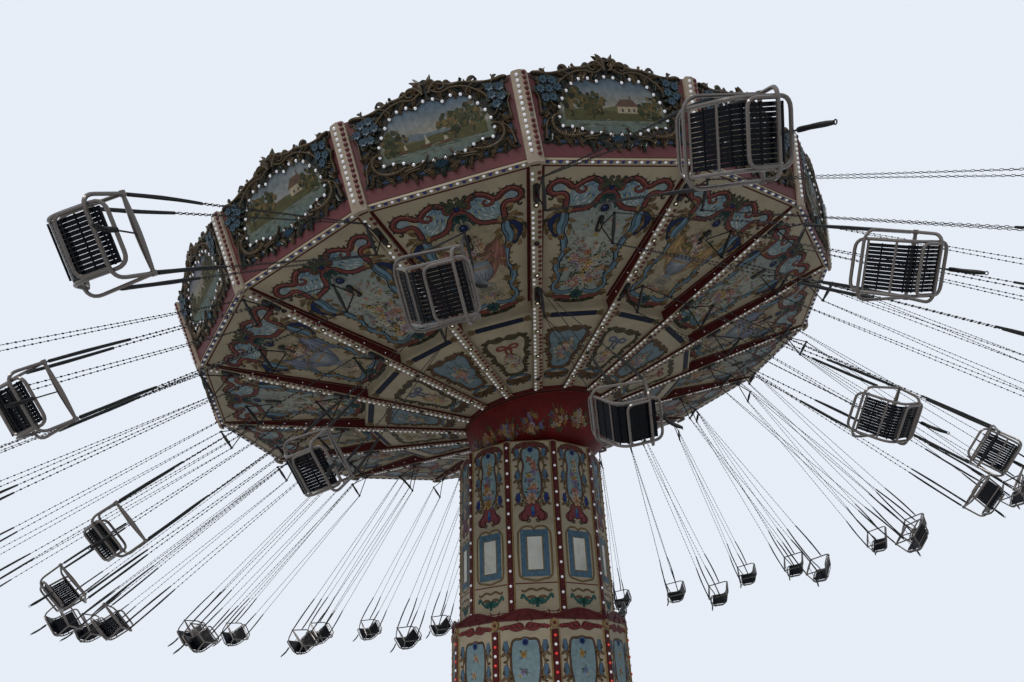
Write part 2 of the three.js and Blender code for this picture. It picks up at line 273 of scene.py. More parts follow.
def make_sky_and_floor():
    """A plain pale surround, one broad soft light from above and a pale floor."""
    world = bpy.data.worlds.new("surround")
    scene.world = world
    world.use_nodes = True
    tree = world.node_tree
    back = tree.nodes["Background"]
    back.inputs["Color"].default_value = (0.80, 0.86, 0.94, 1.0)
    back.inputs["Strength"].default_value = 0.43
    seen = node(tree, "Background")
    seen.inputs["Color"].default_value = (0.80, 0.85, 0.93, 1.0)
    seen.inputs["Strength"].default_value = 1.0
    mix = node(tree, "MixShader")
    link(tree, node(tree, "LightPath"), "Is Camera Ray", mix, "Fac")
    tree.links.new(back.outputs[0], mix.inputs[1])
    tree.links.new(seen.outputs[0], mix.inputs[2])
    tree.links.new(mix.outputs[0], tree.nodes["World Output"].inputs["Surface"])
    lamp = bpy.data.lights.new("soft_key", "SUN")
    lamp.energy = 1.25
    lamp.angle = math.radians(25)
    lamp.color = (1.0, 0.97, 0.92)
    key = bpy.data.objects.new("soft_key", lamp)
    key.rotation_euler = (math.radians(38), math.radians(-28), 0.0)
    scene.collection.objects.link(key)
    mesh = bpy.data.meshes.new("floor")
    corners, reach, level = 96, 60, -0.002
    a = np.linspace(0, 2 * math.pi, corners, endpoint=False)
    pts = np.stack([reach * np.cos(a), reach * np.sin(a), np.full(corners, level)], 1)
    mesh.from_pydata(pts.tolist(), [], [list(range(corners))])
    floor = bpy.data.objects.new("floor", mesh)
    floor.data.materials.append(finish_of("pale_floor", (0.53, 0.53, 0.52), 0.85, spread=0.02, scale=0.3, dirt=0.04,
                                          dirt_tint=(0.6, 0.6, 0.6), bump=0.0))
    scene.collection.objects.link(floor)
    scene.view_settings.view_transform = "Standard"


make_sky_and_floor()


# gathering small shapes into pieces

class Batch:
    """Small shapes gathered into one mesh: points, faces of three or four corners, a tint for each point."""

    def __init__(self):
        self.points, self.tints, self.tris, self.quads, self.count = [], [], [], [], 0

    def add(self, points, faces, tint=(1.0, 1.0, 1.0)):
        points = np.asarray(points, float).reshape(-1, 3)
        tints = np.broadcast_to(np.asarray(tint, float), (len(points), 3))
        for f in faces if isinstance(faces, (list, tuple)) else [faces]:
            f = np.asarray(f, int)
            (self.tris if f.shape[1] == 3 else self.quads).append(f + self.count)
        self.points.append(points)
        self.tints.append(tints)
        self.count += len(points)

    def arrays(self):
        tris = np.concatenate(self.tris) if self.tris else np.zeros((0, 3), int)
        quads = np.concatenate(self.quads) if self.quads else np.zeros((0, 4), int)
        return np.concatenate(self.points), np.concatenate(self.tints), tris, quads

    def copies(self, place, flip=False):
        """The gathered shapes with their points moved by place; flip turns the faces over."""
        p, t, tris, quads = self.arrays()
        out = Batch()
        if flip:
            tris, quads = tris[:, ::-1], quads[:, ::-1]
        out.add(place(p), [f for f in (tris, quads) if len(f)], t)
        return out

    def join(self, other):
        p, t, tris, quads = other.arrays()
        self.add(p, [f for f in (tris, quads) if len(f)], t)


def make(name, batch, material, body, stands_for=(), smooth=35.0):
    """A mesh object from a batch, with its tint, finish and body; smooth is the sharp angle in degrees."""
    p, t, tris, quads = batch.arrays()
    mesh = bpy.data.meshes.new(name)
    loops = np.concatenate([tris.ravel(), quads.ravel()])
    sizes = np.concatenate([np.full(len(tris), 3), np.full(len(quads), 4)])
    mesh.vertices.add(len(p))
    mesh.vertices.foreach_set("co", p.astype(np.float32).ravel())
    mesh.loops.add(len(loops))
    mesh.loops.foreach_set("vertex_index", loops.astype(np.int32))
    mesh.polygons.add(len(sizes))
    starts = np.concatenate([[0], np.cumsum(sizes)[:-1]])
    mesh.polygons.foreach_set("loop_start", starts.astype(np.int32))
    mesh.update(calc_edges=True)
    layer = mesh.attributes.new("tint", "FLOAT_COLOR", "POINT")
    layer.data.foreach_set("color", np.hstack([t, np.ones((len(t), 1))]).astype(np.float32).ravel())
    mesh.validate()
    if smooth:
        mesh.polygons.foreach_set("use_smooth", np.ones(len(mesh.polygons), bool))
        mesh.set_sharp_from_angle(angle=math.radians(smooth))
    mesh.materials.append(MATS[material])
    obj = bpy.data.objects.new(name, mesh)
    scene.collection.objects.link(obj)
    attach(obj, body)
    if stands_for:
        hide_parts(*stands_for)
    return obj


def grid_faces(rows, cols, wrap_rows=False, wrap_cols=False):
    """Quads over a grid of points; a grid row may close on the first row, a column on the first column."""
    i, j = np.meshgrid(np.arange(rows - (not wrap_rows)), np.arange(cols - (not wrap_cols)), indexing="ij")
    k, m = (i + 1) % rows, (j + 1) % cols
    return np.stack([i * cols + j, i * cols + m, k * cols + m, k * cols + j], -1).reshape(-1, 4)


def sweep(path, radius, sides, ref, closed=False, flat=1.0):
    """Round bar along a path: a ring at each point, square to the mean direction there, that starts towards ref.
    flat scales the ring across ref. Open ends are closed by a fan."""
    p = np.asarray(path, float)
    n = len(p)
    d = np.roll(p, -1, 0) - np.roll(p, 1, 0) if closed else np.gradient(p, axis=0)
    t = unit(d)
    ref = np.broadcast_to(np.asarray(ref, float), p.shape)
    a = unit(ref - (ref * t).sum(1, keepdims=True) * t)
    b = np.cross(t, a)
    ang = 2 * math.pi * (np.arange(sides) + 0.5) / sides
    r = np.broadcast_to(np.asarray(radius, float), (n,))[:, None, None]
    ring = p[:, None] + r * (np.cos(ang)[None, :, None] * a[:, None] + flat * np.sin(ang)[None, :, None] * b[:, None])
    pts = ring.reshape(-1, 3)
    faces = [grid_faces(n, sides, closed, True)]
    if not closed:
        j = np.arange(sides)
        k = (j + 1) % sides
        first, last = n * sides, n * sides + 1
        pts = np.vstack([pts, p[:1], p[-1:]])
        faces.append(np.stack([np.full(sides, first), k, j], 1))
        faces.append(np.stack([np.full(sides, last), (n - 1) * sides + j, (n - 1) * sides + k], 1))
    return pts, faces


def even(points, n):
    """n points at equal steps along a line."""
    d = np.concatenate([[0], np.cumsum(np.linalg.norm(np.diff(points, axis=0), axis=1))])
    t = np.linspace(0, d[-1], n)
    return np.stack([np.interp(t, d, points[:, i]) for i in range(points.shape[1])], 1)


def rounded(points, radius, steps=4, closed=False):
    """Corner points joined by straight runs, each corner cut back by radius and rounded by a quadratic curve."""
    p = np.asarray(points, float)
    n = len(p)
    r = np.broadcast_to(np.asarray(radius, float), (n,))
    s = np.linspace(0, 1, steps)[:, None]
    out = []
    for i in range(n):
        if not closed and i in (0, n - 1):
            out.append(p[i:i + 1])
            continue
        a, b, c = p[i - 1], p[i], p[(i + 1) % n]
        e = b + (a - b) / np.linalg.norm(a - b) * r[i]
        f = b + (c - b) / np.linalg.norm(c - b) * r[i]
        out.append((1 - s) ** 2 * e + 2 * s * (1 - s) * b + s ** 2 * f)
    return np.vstack(out)


def block(lo, hi):
    """Box from its lowest to its highest corner, its long edges cut by a small chamfer."""
    lo, hi = np.asarray(lo, float), np.asarray(hi, float)
    c = 0.12 * min(hi - lo)
    x = np.array([lo[0], lo[0] + c, hi[0] - c, hi[0], hi[0], hi[0] - c, lo[0] + c, lo[0]])
    y = np.array([lo[1] + c, lo[1], lo[1], lo[1] + c, hi[1] - c, hi[1], hi[1], hi[1] - c])
    z = np.array([lo[2], hi[2]])
    pts = np.stack([np.tile(x, 2), np.tile(y, 2), np.repeat(z, 8)], 1)
    pts = np.vstack([pts, [[*(lo[:2] + hi[:2]) / 2, lo[2]], [*(lo[:2] + hi[:2]) / 2, hi[2]]]])
    j = np.arange(8)
    k = (j + 1) % 8
    return pts, [grid_faces(2, 8, False, True), np.stack([np.full(8, 16), k, j], 1),
                 np.stack([np.full(8, 17), 8 + j, 8 + k], 1)]


# directions and places on the ride

COS_T, SIN_T = math.cos(TILT), math.sin(TILT)
TILT_M = np.array([[COS_T, 0, SIN_T], [0, 1, 0], [-SIN_T, 0, COS_T]])
UP_T = TILT_M @ np.array([0.0, 0.0, 1.0])


def canopy(p):
    """A point of the level canopy turned by the tilt and lifted to the pivot."""
    return np.asarray(p, float) @ TILT_M.T + np.array([0.0, 0.0, RIM_H])


def outward(az):
    return np.array([-math.sin(az), -math.cos(az), 0.0])


def onward(az):
    return np.array([-math.cos(az), math.sin(az), 0.0])


def panel(az, slope_at, tilted=True):
    """Places x (to the right seen from below or outside), y and height h on a flat panel whose middle is at azimuth
    az. slope_at gives, for y, the distance from the axis and the level; h lifts a point off the panel, square to it."""
    o, s = outward(az), -onward(az)
    up = np.array([0.0, 0.0, 1.0])
    (r0, z0), (r1, z1) = slope_at(0.0), slope_at(1.0)
    along = unit(np.array([r1 - r0, z1 - z0]))
    face = np.array([along[1], -along[0]])

    def place(p):
        p = np.asarray(p, float)
        r = r0 + (r1 - r0) * p[:, 1] + face[0] * p[:, 2]
        z = z0 + (z1 - z0) * p[:, 1] + face[1] * p[:, 2]
        q = r[:, None] * o + p[:, :1] * s + z[:, None] * up
        return canopy(q) if tilted else q

    return place


def outer_line(r):
    return -PANEL_SLOPE * (RIM_R - r) + 0.012


def inner_line(r):
    return -RIB_SLOPE * (RIM_R - r) + 0.050


def rib_line(r):
    return -RIB_SLOPE * (RIM_R - r)


def outer_panel(k):
    """Panel between ribs k and k + 1 outside the step: y is the distance from the axis."""
    return panel(RIB_AZ + BAY * (k + 0.5), lambda t: (t, outer_line(t / CHORD)))


def inner_panel(k):
    return panel(RIB_AZ + BAY * (k + 0.5), lambda t: (t, inner_line(t / CHORD)))


def rib_face(k):
    return panel(RIB_AZ + BAY * k, lambda t: (t, rib_line(t)))


def board_face(k):
    """Leaning board of bay k: y is the level above the rim."""
    return panel(RIB_AZ + BAY * (k + 0.5), lambda z: ((RIM_R + (z - 0.045) * LEAN) * CHORD, z))


def tower_face(k):
    return panel(TOWER_AZ + FACE * (k + 0.5), lambda z: (TOWER_R * math.cos(FACE / 2), z), False)


def drum_face(k):
    return panel(DRUM_AZ + FACE * (k + 0.5), lambda z: (DRUM_R * math.cos(FACE / 2), z), False)


# flat painted and raised carved work, drawn in x, y and height

def smooth_line(points, n, closed=False):
    """Curve through points: cubic pieces whose slope at a point is half the step between its neighbours."""
    p = np.asarray(points, float)
    q = np.vstack([p[-1:], p, p[:2]]) if closed else np.vstack([2 * p[0] - p[1], p, 2 * p[-1] - p[-2]])
    m = len(p) if closed else len(p) - 1
    u = np.linspace(0, m, n, endpoint=not closed)
    i = np.minimum(u.astype(int), m - 1)
    f = (u - i)[:, None]
    a, b, c, d = q[i], q[i + 1], q[i + 2], q[i + 3]
    return 0.5 * (2 * b + (c - a) * f + (2 * a - 5 * b + 4 * c - d) * f ** 2 + (3 * b - a - 3 * c + d) * f ** 3)


def curl(start, angle, length, bend0, bend1, n=14, power=1.0):
    """Scroll line: its direction is the running sum of a bend that goes from bend0 to bend1 radians a metre."""
    s = np.linspace(0, 1, n)
    k = bend0 + (bend1 - bend0) * s ** power
    step = length / (n - 1)
    th = math.radians(angle) + np.concatenate([[0], np.cumsum((k[1:] + k[:-1]) / 2 * step)])
    mid = (th[1:] + th[:-1]) / 2
    steps = np.stack([np.cos(mid), np.sin(mid)], 1) * step
    return np.asarray(start, float) + np.vstack([[0, 0], np.cumsum(steps, 0)])


def normals2(p, closed=False):
    d = np.roll(p, -1, 0) - np.roll(p, 1, 0) if closed else np.gradient(p, axis=0)
    d = d / np.maximum(np.linalg.norm(d, axis=1, keepdims=True), 1e-9)
    return np.stack([-d[:, 1], d[:, 0]], 1)


class Art(Batch):
    """Painted and carved shapes on a flat sheet; x to the right, y up, height off the sheet."""

    def band(self, path, width, tint, h=0.001, closed=False, edge=None, edge_w=0.006):
        """A flat ribbon along a path, its width given along it, over a wider ribbon in the edge colour."""
        p = np.asarray(path, float)
        w = np.broadcast_to(np.asarray(width, float), (len(p),))[:, None] / 2
        if edge is not None:
            self.band(p, 2 * (w[:, 0] + edge_w), edge, h - 0.0006, closed)
        n = normals2(p, closed)
        z = np.full((len(p), 1), h)
        pts = np.hstack([np.vstack([p - n * w, p + n * w]), np.vstack([z, z])])
        m = len(p)
        i = np.arange(m if closed else m - 1)
        k = (i + 1) % m
        self.add(pts, np.stack([i, k, m + k, m + i], 1), tint)
        return self

    def ribbon(self, points, n, width, tint, h, edge_w=0.006):
        """A band along the smooth line through points, on a black edge."""
        return self.band(smooth_line(points, n), width, tint, h, edge=INK, edge_w=edge_w)

    def fill(self, outline, tint, h=0.001, edge=None, edge_w=0.006, middle=None, tint_mid=None):
        """A filled outline as a fan about its middle, over the same outline grown by the edge width."""
        p = np.asarray(outline, float)
        c = p.mean(0) if middle is None else np.asarray(middle, float)
        area = 0.5 * np.sum(p[:, 0] * np.roll(p[:, 1], -1) - np.roll(p[:, 0], -1) * p[:, 1])
        if area < 0:
            p = p[::-1]
        if edge is not None:
            self.fill(p - normals2(p, True) * edge_w, edge, h - 0.0006, middle=c)
        m = len(p)
        pts = np.hstack([np.vstack([p, c]), np.full((m + 1, 1), h)])
        i = np.arange(m)
        tints = np.tile(np.asarray(tint, float), (m + 1, 1))
        if tint_mid is not None:
            tints[-1] = tint_mid
        self.add(pts, np.stack([i, (i + 1) % m, np.full(m, m)], 1), tints)
        return self

    def spot(self, c, r, tint, h=0.001, n=8, edge=None, edge_w=0.005, sx=1.0, turn=0.0):
        """A filled round, stretched along its own x by sx and turned."""
        a = 2 * math.pi * np.arange(n) / n
        e = np.stack([sx * r * np.cos(a), r * np.sin(a)], 1)
        ct, st = math.cos(turn), math.sin(turn)
        e = e @ np.array([[ct, st], [-st, ct]])
        return self.fill(np.asarray(c) + e, tint, h, edge, edge_w)

    def leaf(self, start, angle, length, width, tint, h=0.001, bend=0.0, edge=None, n=6):
        """A leaf: a curl whose width grows and falls as a half sine."""
        path = curl(start, angle, length, bend, bend, n)
        w = width * np.sin(np.linspace(0.12, 1, n) * math.pi) ** 0.8
        return self.band(path, w, tint, h, edge=edge, edge_w=0.0055)

    def relief(self, path, width, height, low, ridge_highlight, h=0.0, sides=4, closed=False):
        """A raised rounded rib along a path: across it the height is a half circle; the tint goes from painted shade at
        its edges to a painted highlight along its top, and nothing is painted where the two tints are the same.
        """
        p = np.asarray(path, float)
        m = len(p)
        w = np.broadcast_to(np.asarray(width, float), (m,))[:, None] / 2
        tall = np.broadcast_to(np.asarray(height, float), (m,))
        n = normals2(p, closed)
        q = np.linspace(-1, 1, sides + 1)
        xy = p[:, None] + n[:, None] * (w * q)[:, :, None]
        z = h + tall[:, None] * np.sqrt(1 - q ** 2)[None]
        pts = np.concatenate([xy, z[:, :, None]], 2)
        # f is the share of the painted highlight across the rib; the rest is painted shade
        f = (1 - np.abs(q)) ** 1.3
        tint = np.asarray(low) * (1 - f)[:, None] + np.asarray(ridge_highlight) * f[:, None]
        tints = np.broadcast_to(tint, (m, sides + 1, 3))
        faces = grid_faces(m, sides + 1, closed, False)[:, ::-1]
        self.add(pts.reshape(-1, 3), faces, tints.reshape(-1, 3))
        return self

    def foliage(self, start, angle, length, width, height, dark, light, bend=3.0, h=0.0, n=7):
        """A carved leaf: its rib is a curl that winds up at the tip; its half width is a sine of the run, notched at
            every other row; across it two rounded halves meet in a groove. Its tint is a painted highlight on the
            halves' tops over painted shade in the groove and at the edges, and the notched rows are painted darker as
            shade."""
        s = np.linspace(0, 1, n)
        path = curl(start, angle, length, bend * .4, bend * 3.2, n, 2.2)
        lobe = np.where(np.arange(n) % 2 == 1, 1.0, .62)
        w = width / 2 * np.sin(math.pi * (.13 + .83 * s)) ** .7 * lobe
        q = np.array([-1, -.55, 0, .55, 1])
        side = normals2(path)
        ahead = np.stack([side[:, 1], -side[:, 0]], 1)
        across = side[:, None] * (w[:, None] * q)[:, :, None]
        forward = ahead[:, None] * (.5 * w[:, None] * np.abs(q))[:, :, None]
        xy = path[:, None] + across + forward
        z = h + height * (.45 + .55 * np.sin(math.pi * s))[:, None] * np.array([0, .85, .40, .85, 0])
        # painted highlight on the halves' tops; painted shade in the groove, at the edges and on the notched rows
        f = (np.array([0, 1, .2, 1, .1]) * (.35 + .65 * lobe)[:, None])[:, :, None]
        tints = np.asarray(dark) * (1 - f) + np.asarray(light) * f
        pts = np.concatenate([xy, z[:, :, None]], 2).reshape(-1, 3)
        self.add(pts, grid_faces(n, 5)[:, ::-1], tints.reshape(-1, 3))
        return self

    def blossom(self, c, r, petal, heart, h=0.001, petals=5, turn=0.0, cup=0.0):
        """A flower of rounded petals about a heart; cup raises the petals' tips."""
        a = 2 * math.pi * np.arange(petals) / petals + turn
        c = np.asarray(c, float)
        q = np.array([[0.12, 0.0], [0.55, -0.30], [0.98, -0.20], [1.0, 0.16], [0.6, 0.30]]) * r
        ca, sa = np.cos(a)[:, None], np.sin(a)[:, None]
        x = c[0] + ca * q[:, 0] - sa * q[:, 1]
        y = c[1] + sa * q[:, 0] + ca * q[:, 1]
        rise = cup * np.array([0, 0.6, 1.0, 1.0, 0.6])[None] * np.ones((petals, 1))
        z = h + rise + 0.0001 * (np.arange(petals) % 2)[:, None]
        pts = np.stack([x, y, z], 2).reshape(-1, 3)
        base = 5 * np.arange(petals)[:, None]
        tris = np.concatenate([base + np.array([0, 1, 2]), base + np.array([0, 2, 3]), base + np.array([0, 3, 4])])
        shade = np.array([0.55, 0.85, 1.12, 1.12, 0.85])[None, :, None] * np.asarray(petal)[None, None]
        tints = np.broadcast_to(shade, (petals, 5, 3)).reshape(-1, 3)
        self.add(pts, tris, tints)
        self.spot(c, r * 0.27, heart, h + 0.0004 + cup * 0.5, 5)
        return self

    def slab(self, outline, h0, h1, tint, inset=0.0):
        """A plate with the given outline, counter-clockwise, from h0 to h1, its top edge drawn in by inset."""
        p = np.asarray(outline, float)
        m = len(p)
        q = p + normals2(p, True) * inset
        pts = np.vstack([np.column_stack([p, np.full(m, h0)]), np.column_stack([q, np.full(m, h1)]),
                         [[*q.mean(0), h1]]])
        i = np.arange(m)
        k = (i + 1) % m
        self.add(pts, [np.stack([i, k, m + k, m + i], 1), np.stack([m + i, m + k, np.full(m, 2 * m)], 1)], tint)
        return self

    def dots(self, centres, r, height, h=0.0, sides=6, fine=False):
        """Domed lamps: rings of a dome over each centre, closed by a top point."""
        c = np.asarray(centres, float).reshape(-1, 2)
        a = 2 * math.pi * np.arange(sides) / sides
        rings = [(1.0, 0.0), (0.95, 0.45), (0.62, 0.86)] if fine else [(1.0, 0.0), (0.82, 0.62)]
        shape = [np.stack([r * s * np.cos(a), r * s * np.sin(a), np.full(sides, h + height * z)], 1)
                 for s, z in rings]
        shape = np.vstack(shape + [[[0.0, 0.0, h + height]]])
        n = len(rings)
        j = np.arange(sides)
        cap = np.stack([(n - 1) * sides + j, (n - 1) * sides + (j + 1) % sides, np.full(sides, n * sides)], 1)
        off = len(shape) * np.arange(len(c))[:, None, None]
        pts = shape[None] + np.column_stack([c, np.zeros(len(c))])[:, None]
        faces = [(f[None] + off).reshape(-1, f.shape[1]) for f in (grid_faces(n, sides, False, True), cap)]
        self.add(pts.reshape(-1, 3), faces)
        return self

    def hoops(self, centres, r, wire, tint, h=0.0, n=10):
        """Raised rings, each a relief band along a circle."""
        a = 2 * math.pi * np.arange(n) / n
        for c in np.asarray(centres, float).reshape(-1, 2):
            self.relief(c + r * np.stack([np.cos(a), np.sin(a)], 1), wire, wire * 0.8, tint, tint, h, 2, True)
        return self


def column(x, ys):
    """Points one above the other, at a distance x from the middle line."""
    return np.stack([0 * ys + x, ys], 1)


def box_outline(x0, x1, y0, y1):
    return np.array([(x0, y0), (x1, y0), (x1, y1), (x0, y1)])


def dress(name, slot):
    """A node of the frame that keeps its shape takes a finish."""
    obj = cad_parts[name]
    for s in obj.material_slots:
        s.material = MATS[slot]


for cad_node, look in {"base_frame_and_mast": "steel", "lift_carriage": "steel", "tilt_head": "steel",
                       "drum_wall": "cream", "tower_shell": "cream", "soffit": "cream", "rib_frame": "dark_red",
                       "roof": "dark_red"}.items():
    dress(cad_node, look)


# flying chairs; in a chair's own axes x is forward, y across, z up the chains, zero at the lap bar

def chair_place(row, k):
    """Pivot and axes as rows. Down the chains is the level outward direction swung forward by the lead and
    raised from plumb by the fly angle; forward is the canopy's normal crossed with it."""
    half, r, z, _, fly, lead = ROWS[row]
    az = RIB_AZ + BAY * (k + half)
    fly, lead = math.radians(fly), math.radians(lead)
    pivot = canopy(r * outward(az) + np.array([0, 0, z]))
    level = math.cos(lead) * outward(az) - math.sin(lead) * onward(az)
    down = math.sin(fly) * level - np.array([0, 0, math.cos(fly)])
    forward = unit(np.cross(UP_T, down))
    return pivot, np.array([forward, np.cross(forward, -down), -down])


LAP = np.array([.225, 0, .105])
STRAP_END = np.array([.356, 0, -.425])


def chair_tubes():
    """Tubes of a chair, each a round bar along a line with rounded corners: seat and back loop with a wide bend, two
    bars across the back, arm hoop round behind the back, bow from the lap bar's ends under the seat, a second bar below
    the bend, and the lap bar, thickest in its middle, with its end sleeves."""
    b = Batch()
    loop = rounded([(-.285, .202, .170), (-.105, .202, -.192), (.270, .202, -.148), (.270, -.202, -.148),
                    (-.105, -.202, -.192), (-.285, -.202, .170)], [.085, .12, .08, .08, .12, .085], 6, True)
    b.add(*sweep(loop, .0135, 7, (.4, 0, .9), True))
    for f, u in ((-.244, .087), (-.157, -.090)):
        b.add(*sweep([(f, -.2, u), (f, .2, u)], .0095, 6, (1, 0, 0)))
    hoop = rounded([(.225, -.258, .105), (-.272, -.275, .105), (-.272, .275, .105), (.225, .258, .105)],
                   [0, .11, .11, 0], 7)
    b.add(*sweep(hoop, .0130, 7, (0, 0, 1)))
    bow = rounded([(.225, -.258, .105), (.168, -.258, -.187), (.168, .258, -.187), (.225, .258, .105)],
                  [0, .095, .095, 0], 7)
    b.add(*sweep(bow, .0135, 7, (1, 0, -.2)))
    low = rounded([(.168, -.190, -.187), (-.035, -.190, -.212), (-.035, .190, -.212), (.168, .190, -.187)],
                  [0, .06, .06, 0], 5)
    b.add(*sweep(low, .0125, 6, (0, 0, 1)))
    s = np.linspace(-1, 1, 11)
    b.add(*sweep(LAP + np.stack([0 * s, .258 * s, 0 * s], 1), .012 + .012 * (1 - np.abs(s) ** 1.6), 8, (1, 0, 0)))
    for side in (-1, 1):
        b.add(*sweep([LAP + (0, side * .240, 0), LAP + (0, side * .276, 0)], .0205, 8, (1, 0, 0)))
    return b


def chair_slats():
    """Twelve narrow slats with gaps between them, carried along the line of the seat and up the back, with straps
    across them and a rolled border at the front."""
    b = Batch()
    line = rounded([(.213, 0, -.143), (-.100, 0, -.180), (-.238, 0, .096)], [0, .085, 0], 6)
    for w in .029 * (np.arange(12) - 5.5):
        b.add(*sweep(line + np.array([0, w, 0]), .0176, 4, (0, 1, 0), flat=.38))
    for f, u, r in ((.190, -.150, .007), (.070, -.165, .007), (-.055, -.183, .007), (-.118, -.165, .008),
                    (-.196, .003, .007)):
        b.add(*sweep([(f, -.176, u), (f, .176, u)], r, 5, (1, 0, 0), flat=.7))
    b.add(*sweep([(.217, -.172, -.1425), (.217, .172, -.1425)], .0115, 7, (1, 0, 0)))
    return b


def chain_lines(length):
    """The four chains of a chair, from the spreader down to the lap bar's ends and to the arm hoop."""
    top = length - SPREADER
    return [(np.array([f0, s * .214, top]), np.array([f1, s * w1, .113]))
            for s in (-1, 1) for f0, f1, w1 in ((.004, .225, .256), (-.004, -.060, .267))]


SLEEVE = 0.90
PITCH = 0.042


def link_shape(near):
    """A chain link: a triangular bar around a long hexagon, or for far chairs a flat eight-faced drop."""
    if near:
        hexagon = np.array([(.0235, 0, 0), (.013, .0088, 0), (-.013, .0088, 0), (-.0235, 0, 0), (-.013, -.0088, 0),
                            (.013, -.0088, 0)])
        pts, faces = sweep(hexagon, .0042, 3, (0, 0, 1), True)
        return pts, faces[0]
    pts = np.array([(.026, 0, 0), (-.026, 0, 0), (0, .0125, 0), (0, -.0125, 0), (0, 0, .006), (0, 0, -.006)])
    return pts, np.array([(0, 2, 4), (2, 1, 4), (1, 3, 4), (3, 0, 4), (2, 0, 5), (1, 2, 5), (3, 1, 5), (0, 3, 5)])


def chains(length, near):
    """Links at equal steps down each chain, each a quarter turn on from the last; a shackle at each chain's foot; the
    strap's thin rod from the lap bar to the front of the seat and the hook at its end."""
    b = Batch()
    shape, faces = link_shape(near)
    a = 2 * math.pi * np.arange(6) / 6
    for p, q in chain_lines(length):
        run = np.linalg.norm(q - p)
        t = (q - p) / run
        side = unit(np.cross(t, [1.0, 0, 0]))
        other = np.cross(t, side)
        n = int((run - SLEEVE + .05) / PITCH)
        c = p + t * (PITCH * (np.arange(n) + .6))[:, None]
        flat = (np.arange(n) % 2 == 0)[:, None]
        axes = np.stack([np.broadcast_to(t, (n, 3)), np.where(flat, side, other), np.where(flat, other, -side)], 1)
        pts = c[:, None] + shape @ axes
        off = len(shape) * np.arange(n)[:, None, None]
        b.add(pts.reshape(-1, 3), (faces[None] + off).reshape(-1, faces.shape[1]))
        ring = np.cos(a)[:, None] * t + np.sin(a)[:, None] * other
        b.add(*sweep(q - .016 * t + .018 * ring, .005, 4, side, True))
    b.add(*sweep([LAP - (0, 0, .012), (.279, 0, -.140), (.298, 0, -.186)], .0060, 5, (0, 1, 0)))
    b.add(*sweep(STRAP_END + .014 * np.stack([0 * a, np.cos(a), np.sin(a)], 1), .004, 4, (1, 0, 0), True))
    return b


def chain_sleeves(length):
    """Rubber hose over the lower end of each chain and over the strap: a round bar, slightly bent, its radius rippling
    a little."""
    b = Batch()
    for p, q in chain_lines(length):
        t = unit(q - p)
        s = np.linspace(0, 1, 6)
        bulge = (.014 if q[0] > 0 else -.014) * np.sin(math.pi * s)
        path = q - t * (.035 + (SLEEVE - .035) * s)[:, None] + bulge[:, None] * np.array([1.0, 0, 0])
        b.add(*sweep(path, .0155 + .0012 * np.sin(9 * s + p[1] * 20) - .003 * (s > .99), 6, (1, 0, 0)))
    s = np.linspace(0, 1, 8)
    start = np.array([.296, 0, -.178])
    bulge = (.022 * np.sin(math.pi * s))[:, None] * np.array([-1.0, 0, 0])
    path = start + (STRAP_END + (0, 0, .012) - start) * s[:, None] + bulge
    b.add(*sweep(path, .0170 + .0010 * np.sin(11 * s) - .003 * (s > .99), 8, (0, 1, 0)))
    return b


def hanger_rods(length):
    """V of two rods below the eye, spreader bar, thickest in its middle, with its end blocks, and the pin through the
    cheeks."""
    b = Batch()
    top = length - SPREADER
    v = rounded([(0, -.212, top), (0, 0, length - .010), (0, .212, top)], [0, .035, 0], 5)
    b.add(*sweep(v, .011, 5, (1, 0, 0)))
    s = np.linspace(-1, 1, 9)
    b.add(*sweep(np.stack([0 * s, .224 * s, top + 0 * s], 1), .0125 + .0165 * (1 - np.abs(s) ** 1.3), 6, (1, 0, 0)))
    for s in (-1, 1):
        b.add(*block((-.017, s * .214 - .014, top - .030), (.017, s * .214 + .014, top + .024)))
    b.add(*sweep([(-.0105, 0, length), (.0105, 0, length)], .027, 10, (0, 0, 1)))
    b.add(*sweep([(-.030, 0, length), (.030, 0, length)], .010, 8, (0, 0, 1)))
    return b


def make_chairs():
    tubes, slats = chair_tubes(), chair_slats()
    for row in ROWS:
        length = ROWS[row][3]
        links = {near: chains(length, near) for near in (False, True)}
        hoses, rods = chain_sleeves(length), hanger_rods(length)
        for k in range(BAYS):
            pivot, axes = chair_place(row, k)
            place = lambda p: pivot + (p - np.array([0, 0, length])) @ axes
            seat = place(np.zeros((1, 3)))[0]
            near = seat[1] < NEAR_Y
            tag = f"{row}_{k + 1:02d}"
            body = f"swing_{tag}"
            make(f"seat_frame_{tag}", tubes.copies(place, True), "tube", body, (f"chair_{tag}",), 40)
            make(f"seat_slats_{tag}", slats.copies(place, True), "slat", body, (), 30)
            make(f"chains_{tag}", links[near].copies(place, True), "chain", body, (), 60)
            make(f"hose_sleeves_{tag}", hoses.copies(place, True), "rubber", body, (), 50)
            make(f"hanger_{tag}", rods.copies(place, True), "black", body, (), 40)


make_chairs()


# canopy

LAMPS = {"lamp_white": Batch(), "lamp_red": Batch(), "lamp_blue": Batch(), "lamp_warm": Batch()}


def light(colour, face, art):
    LAMPS[colour].join(art.copies(face))


def mount_outline(r):
    """Long box with its corners cut, about the distance r from the axis."""
    return np.array([(-.046, r - .12), (-.028, r - .152), (.028, r - .152), (.046, r - .12), (.046, r + .12),
                     (.028, r + .152), (-.028, r + .152), (-.046, r + .12)])


